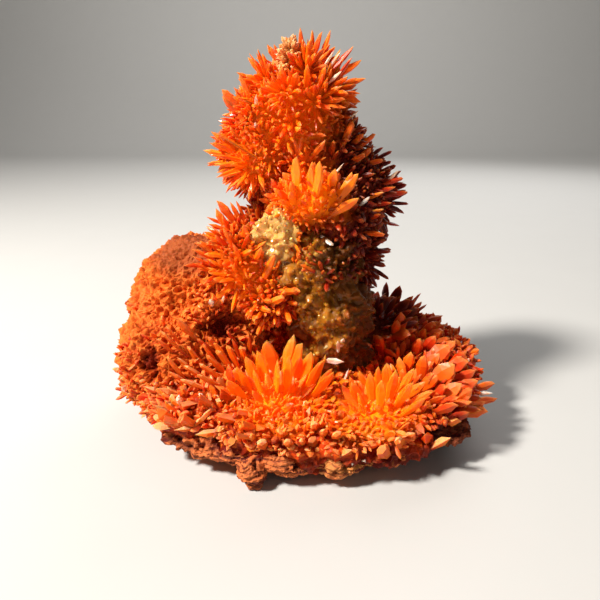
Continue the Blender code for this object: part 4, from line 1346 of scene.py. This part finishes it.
# the brown rock, split into thin ledges round its edge
rockValues = {"voxel": 0.47, "rim": (5.2, 6.9, (8.4, 8.4, 4.6)), "ledge": 0.95, "ledgeOut": 0.7, "wave": 9,
    "rough": 1.0, "grain": 5, "crumb": 0.45, "crumbGrain": 1.6, "pocket": 6.5, "pocketDepth": 1.8}
rockMesh = lumpSkin("rockPlate", rockLumps + rimLumps(*rockValues["rim"]), rockValues["voxel"])
rockPoints, rockNormals = readPoints(rockMesh)
rockX, _, rockZ = rockPoints.T
waves = ripple(rockPoints, rockValues["wave"], fade=0.7, step=2.1)
crumbs = ripple(rockPoints, rockValues["crumbGrain"], step=2.1)
layer = (rockZ + waves * 1.5 + crumbs * 0.35) / rockValues["ledge"]
saw = np.abs((layer % 1.0) - 0.5) * 2
steep = 1 - np.abs(rockNormals[:, 2])
rough = ripple(rockPoints, rockValues["grain"], 4, fade=0.7)
hollows = ripple(rockPoints, rockValues["pocket"], fade=0.5, shift=(3, 0, 0))
pocket = ramp(hollows, 0.04, 0.24) * ramp(rockZ, 4, 7)
east = ramp(rockX, 24, 32)
bulge = (saw - 0.5) * rockValues["ledgeOut"] * steep + rough * rockValues["rough"]
bulge += crumbs * rockValues["crumb"] - pocket * rockValues["pocketDepth"]
rockPoints += rockNormals * bulge[:, None]
rockPoints[:, 2] = np.maximum(rockPoints[:, 2], 0)           # nothing below the spot it stands on
writePoints(rockMesh, rockPoints)
paint(rockMesh, "layer", saw)
# painted shade in the pockets and over the east end
paint(rockMesh, "deep", np.maximum(pocket, east * 0.85))
finished("rockPlate", rockMesh, rockStuff, "matrix_rock", "matrix_plate")
print("rock:", len(rockMesh.polygons), "faces")

# floor, light and camera
# lengths in metres here; a lamp is its place, size, energy and, where it isn't the object, its aim
studio = {"floor": 0.9, "curve": 0.35, "wall": 0.9, "bends": 12, "floorColour": (0.56, 0.55, 0.53),
    "key": ((-0.41, -0.20, 0.50), 0.10, 9.0), "fill": ((0.45, -0.55, 0.35), 0.6, 0.25),
    "back": ((0.30, 0.50, 0.45), 0.5, 1.7), "wallLight": ((0.0, 0.45, 0.85), 0.6, 4.0, (0, 1.3, 0.25)),
    "sky": 0.09, "skyColour": (1.0, 0.95, 0.88)}


def backdrop():
    # a floor that bends up into a wall behind the object
    work = bmesh.new()
    half = studio["floor"] * 1.6
    front = [work.verts.new((x, -studio["floor"], 0)) for x in (-half, half)]
    edge = work.edges.new(front)
    bend = [(studio["floor"], 0)]
    for step in range(1, studio["bends"] + 1):
        turn = math.pi / 2 * step / studio["bends"]
        out, up = math.sin(turn), 1 - math.cos(turn)
        bend.append((studio["floor"] + studio["curve"] * out, studio["curve"] * up))
    bend.append((studio["floor"] + studio["curve"], studio["wall"]))
    lastY, lastZ = -studio["floor"], 0
    for y, z in bend:
        made = bmesh.ops.extrude_edge_only(work, edges=[edge])["geom"]
        moved = [part for part in made if isinstance(part, bmesh.types.BMVert)]
        bmesh.ops.translate(work, vec=(0, y - lastY, z - lastZ), verts=moved)
        edge = next(part for part in made
            if isinstance(part, bmesh.types.BMEdge) and all(corner in made for corner in part.verts))
        lastY, lastZ = y, z
    bmesh.ops.recalc_face_normals(work, faces=work.faces[:])
    for face in work.faces:
        face.smooth = True
    mesh = bpy.data.meshes.new("backdrop")
    work.to_mesh(mesh)
    work.free()
    paper, shader, start, place = newMaterial("backdropPaper", {"Roughness": 0.75})
    grain = start.noise(place, 40, 3)
    low = tuple(value * 0.97 for value in studio["floorColour"])
    connect(shader, "Base Color", start.mix(grain, low, studio["floorColour"]))
    mesh.materials.append(paper)
    made = bpy.data.objects.new("backdrop", mesh)
    scene.collection.objects.link(made)


def lamp(name, place, size, energy, aim=(0, 0, 0.05), colour=(1, 1, 1)):
    light = bpy.data.lights.new(name, "AREA")
    light.shape = "DISK"
    light.size = size
    light.energy = energy
    light.color = colour
    made = bpy.data.objects.new(name, light)
    made.location = place
    made.rotation_euler = (Vector(aim) - Vector(place)).to_track_quat("-Z", "Y").to_euler()
    scene.collection.objects.link(made)


backdrop()
lamp("keyLight", *studio["key"], colour=(1.0, 0.96, 0.9))
lamp("fillLight", *studio["fill"])
lamp("backLight", *studio["back"])
lamp("wallLight", *studio["wallLight"])
sky = bpy.data.worlds.new("studioSky")
sky.use_nodes = True
sky.node_tree.nodes["Background"].inputs["Color"].default_value = (*studio["skyColour"], 1)
sky.node_tree.nodes["Background"].inputs["Strength"].default_value = studio["sky"]
scene.world = sky
scene.view_settings.view_transform = "Standard"

lens = bpy.data.cameras.new("studioCamera")
lens.lens = cameraValues["focal"] * cameraValues["sensor"] / cameraValues["frame"]
lens.sensor_width = cameraValues["sensor"]
lens.clip_start = 5 * mm
camera = bpy.data.objects.new("studioCamera", lens)
camera.location = [value * mm for value in cameraValues["eye"]]
camera.rotation_euler = (math.pi / 2 - math.atan(cameraValues["drop"]), 0, 0)
scene.collection.objects.link(camera)
scene.camera = camera
print("studio ready")
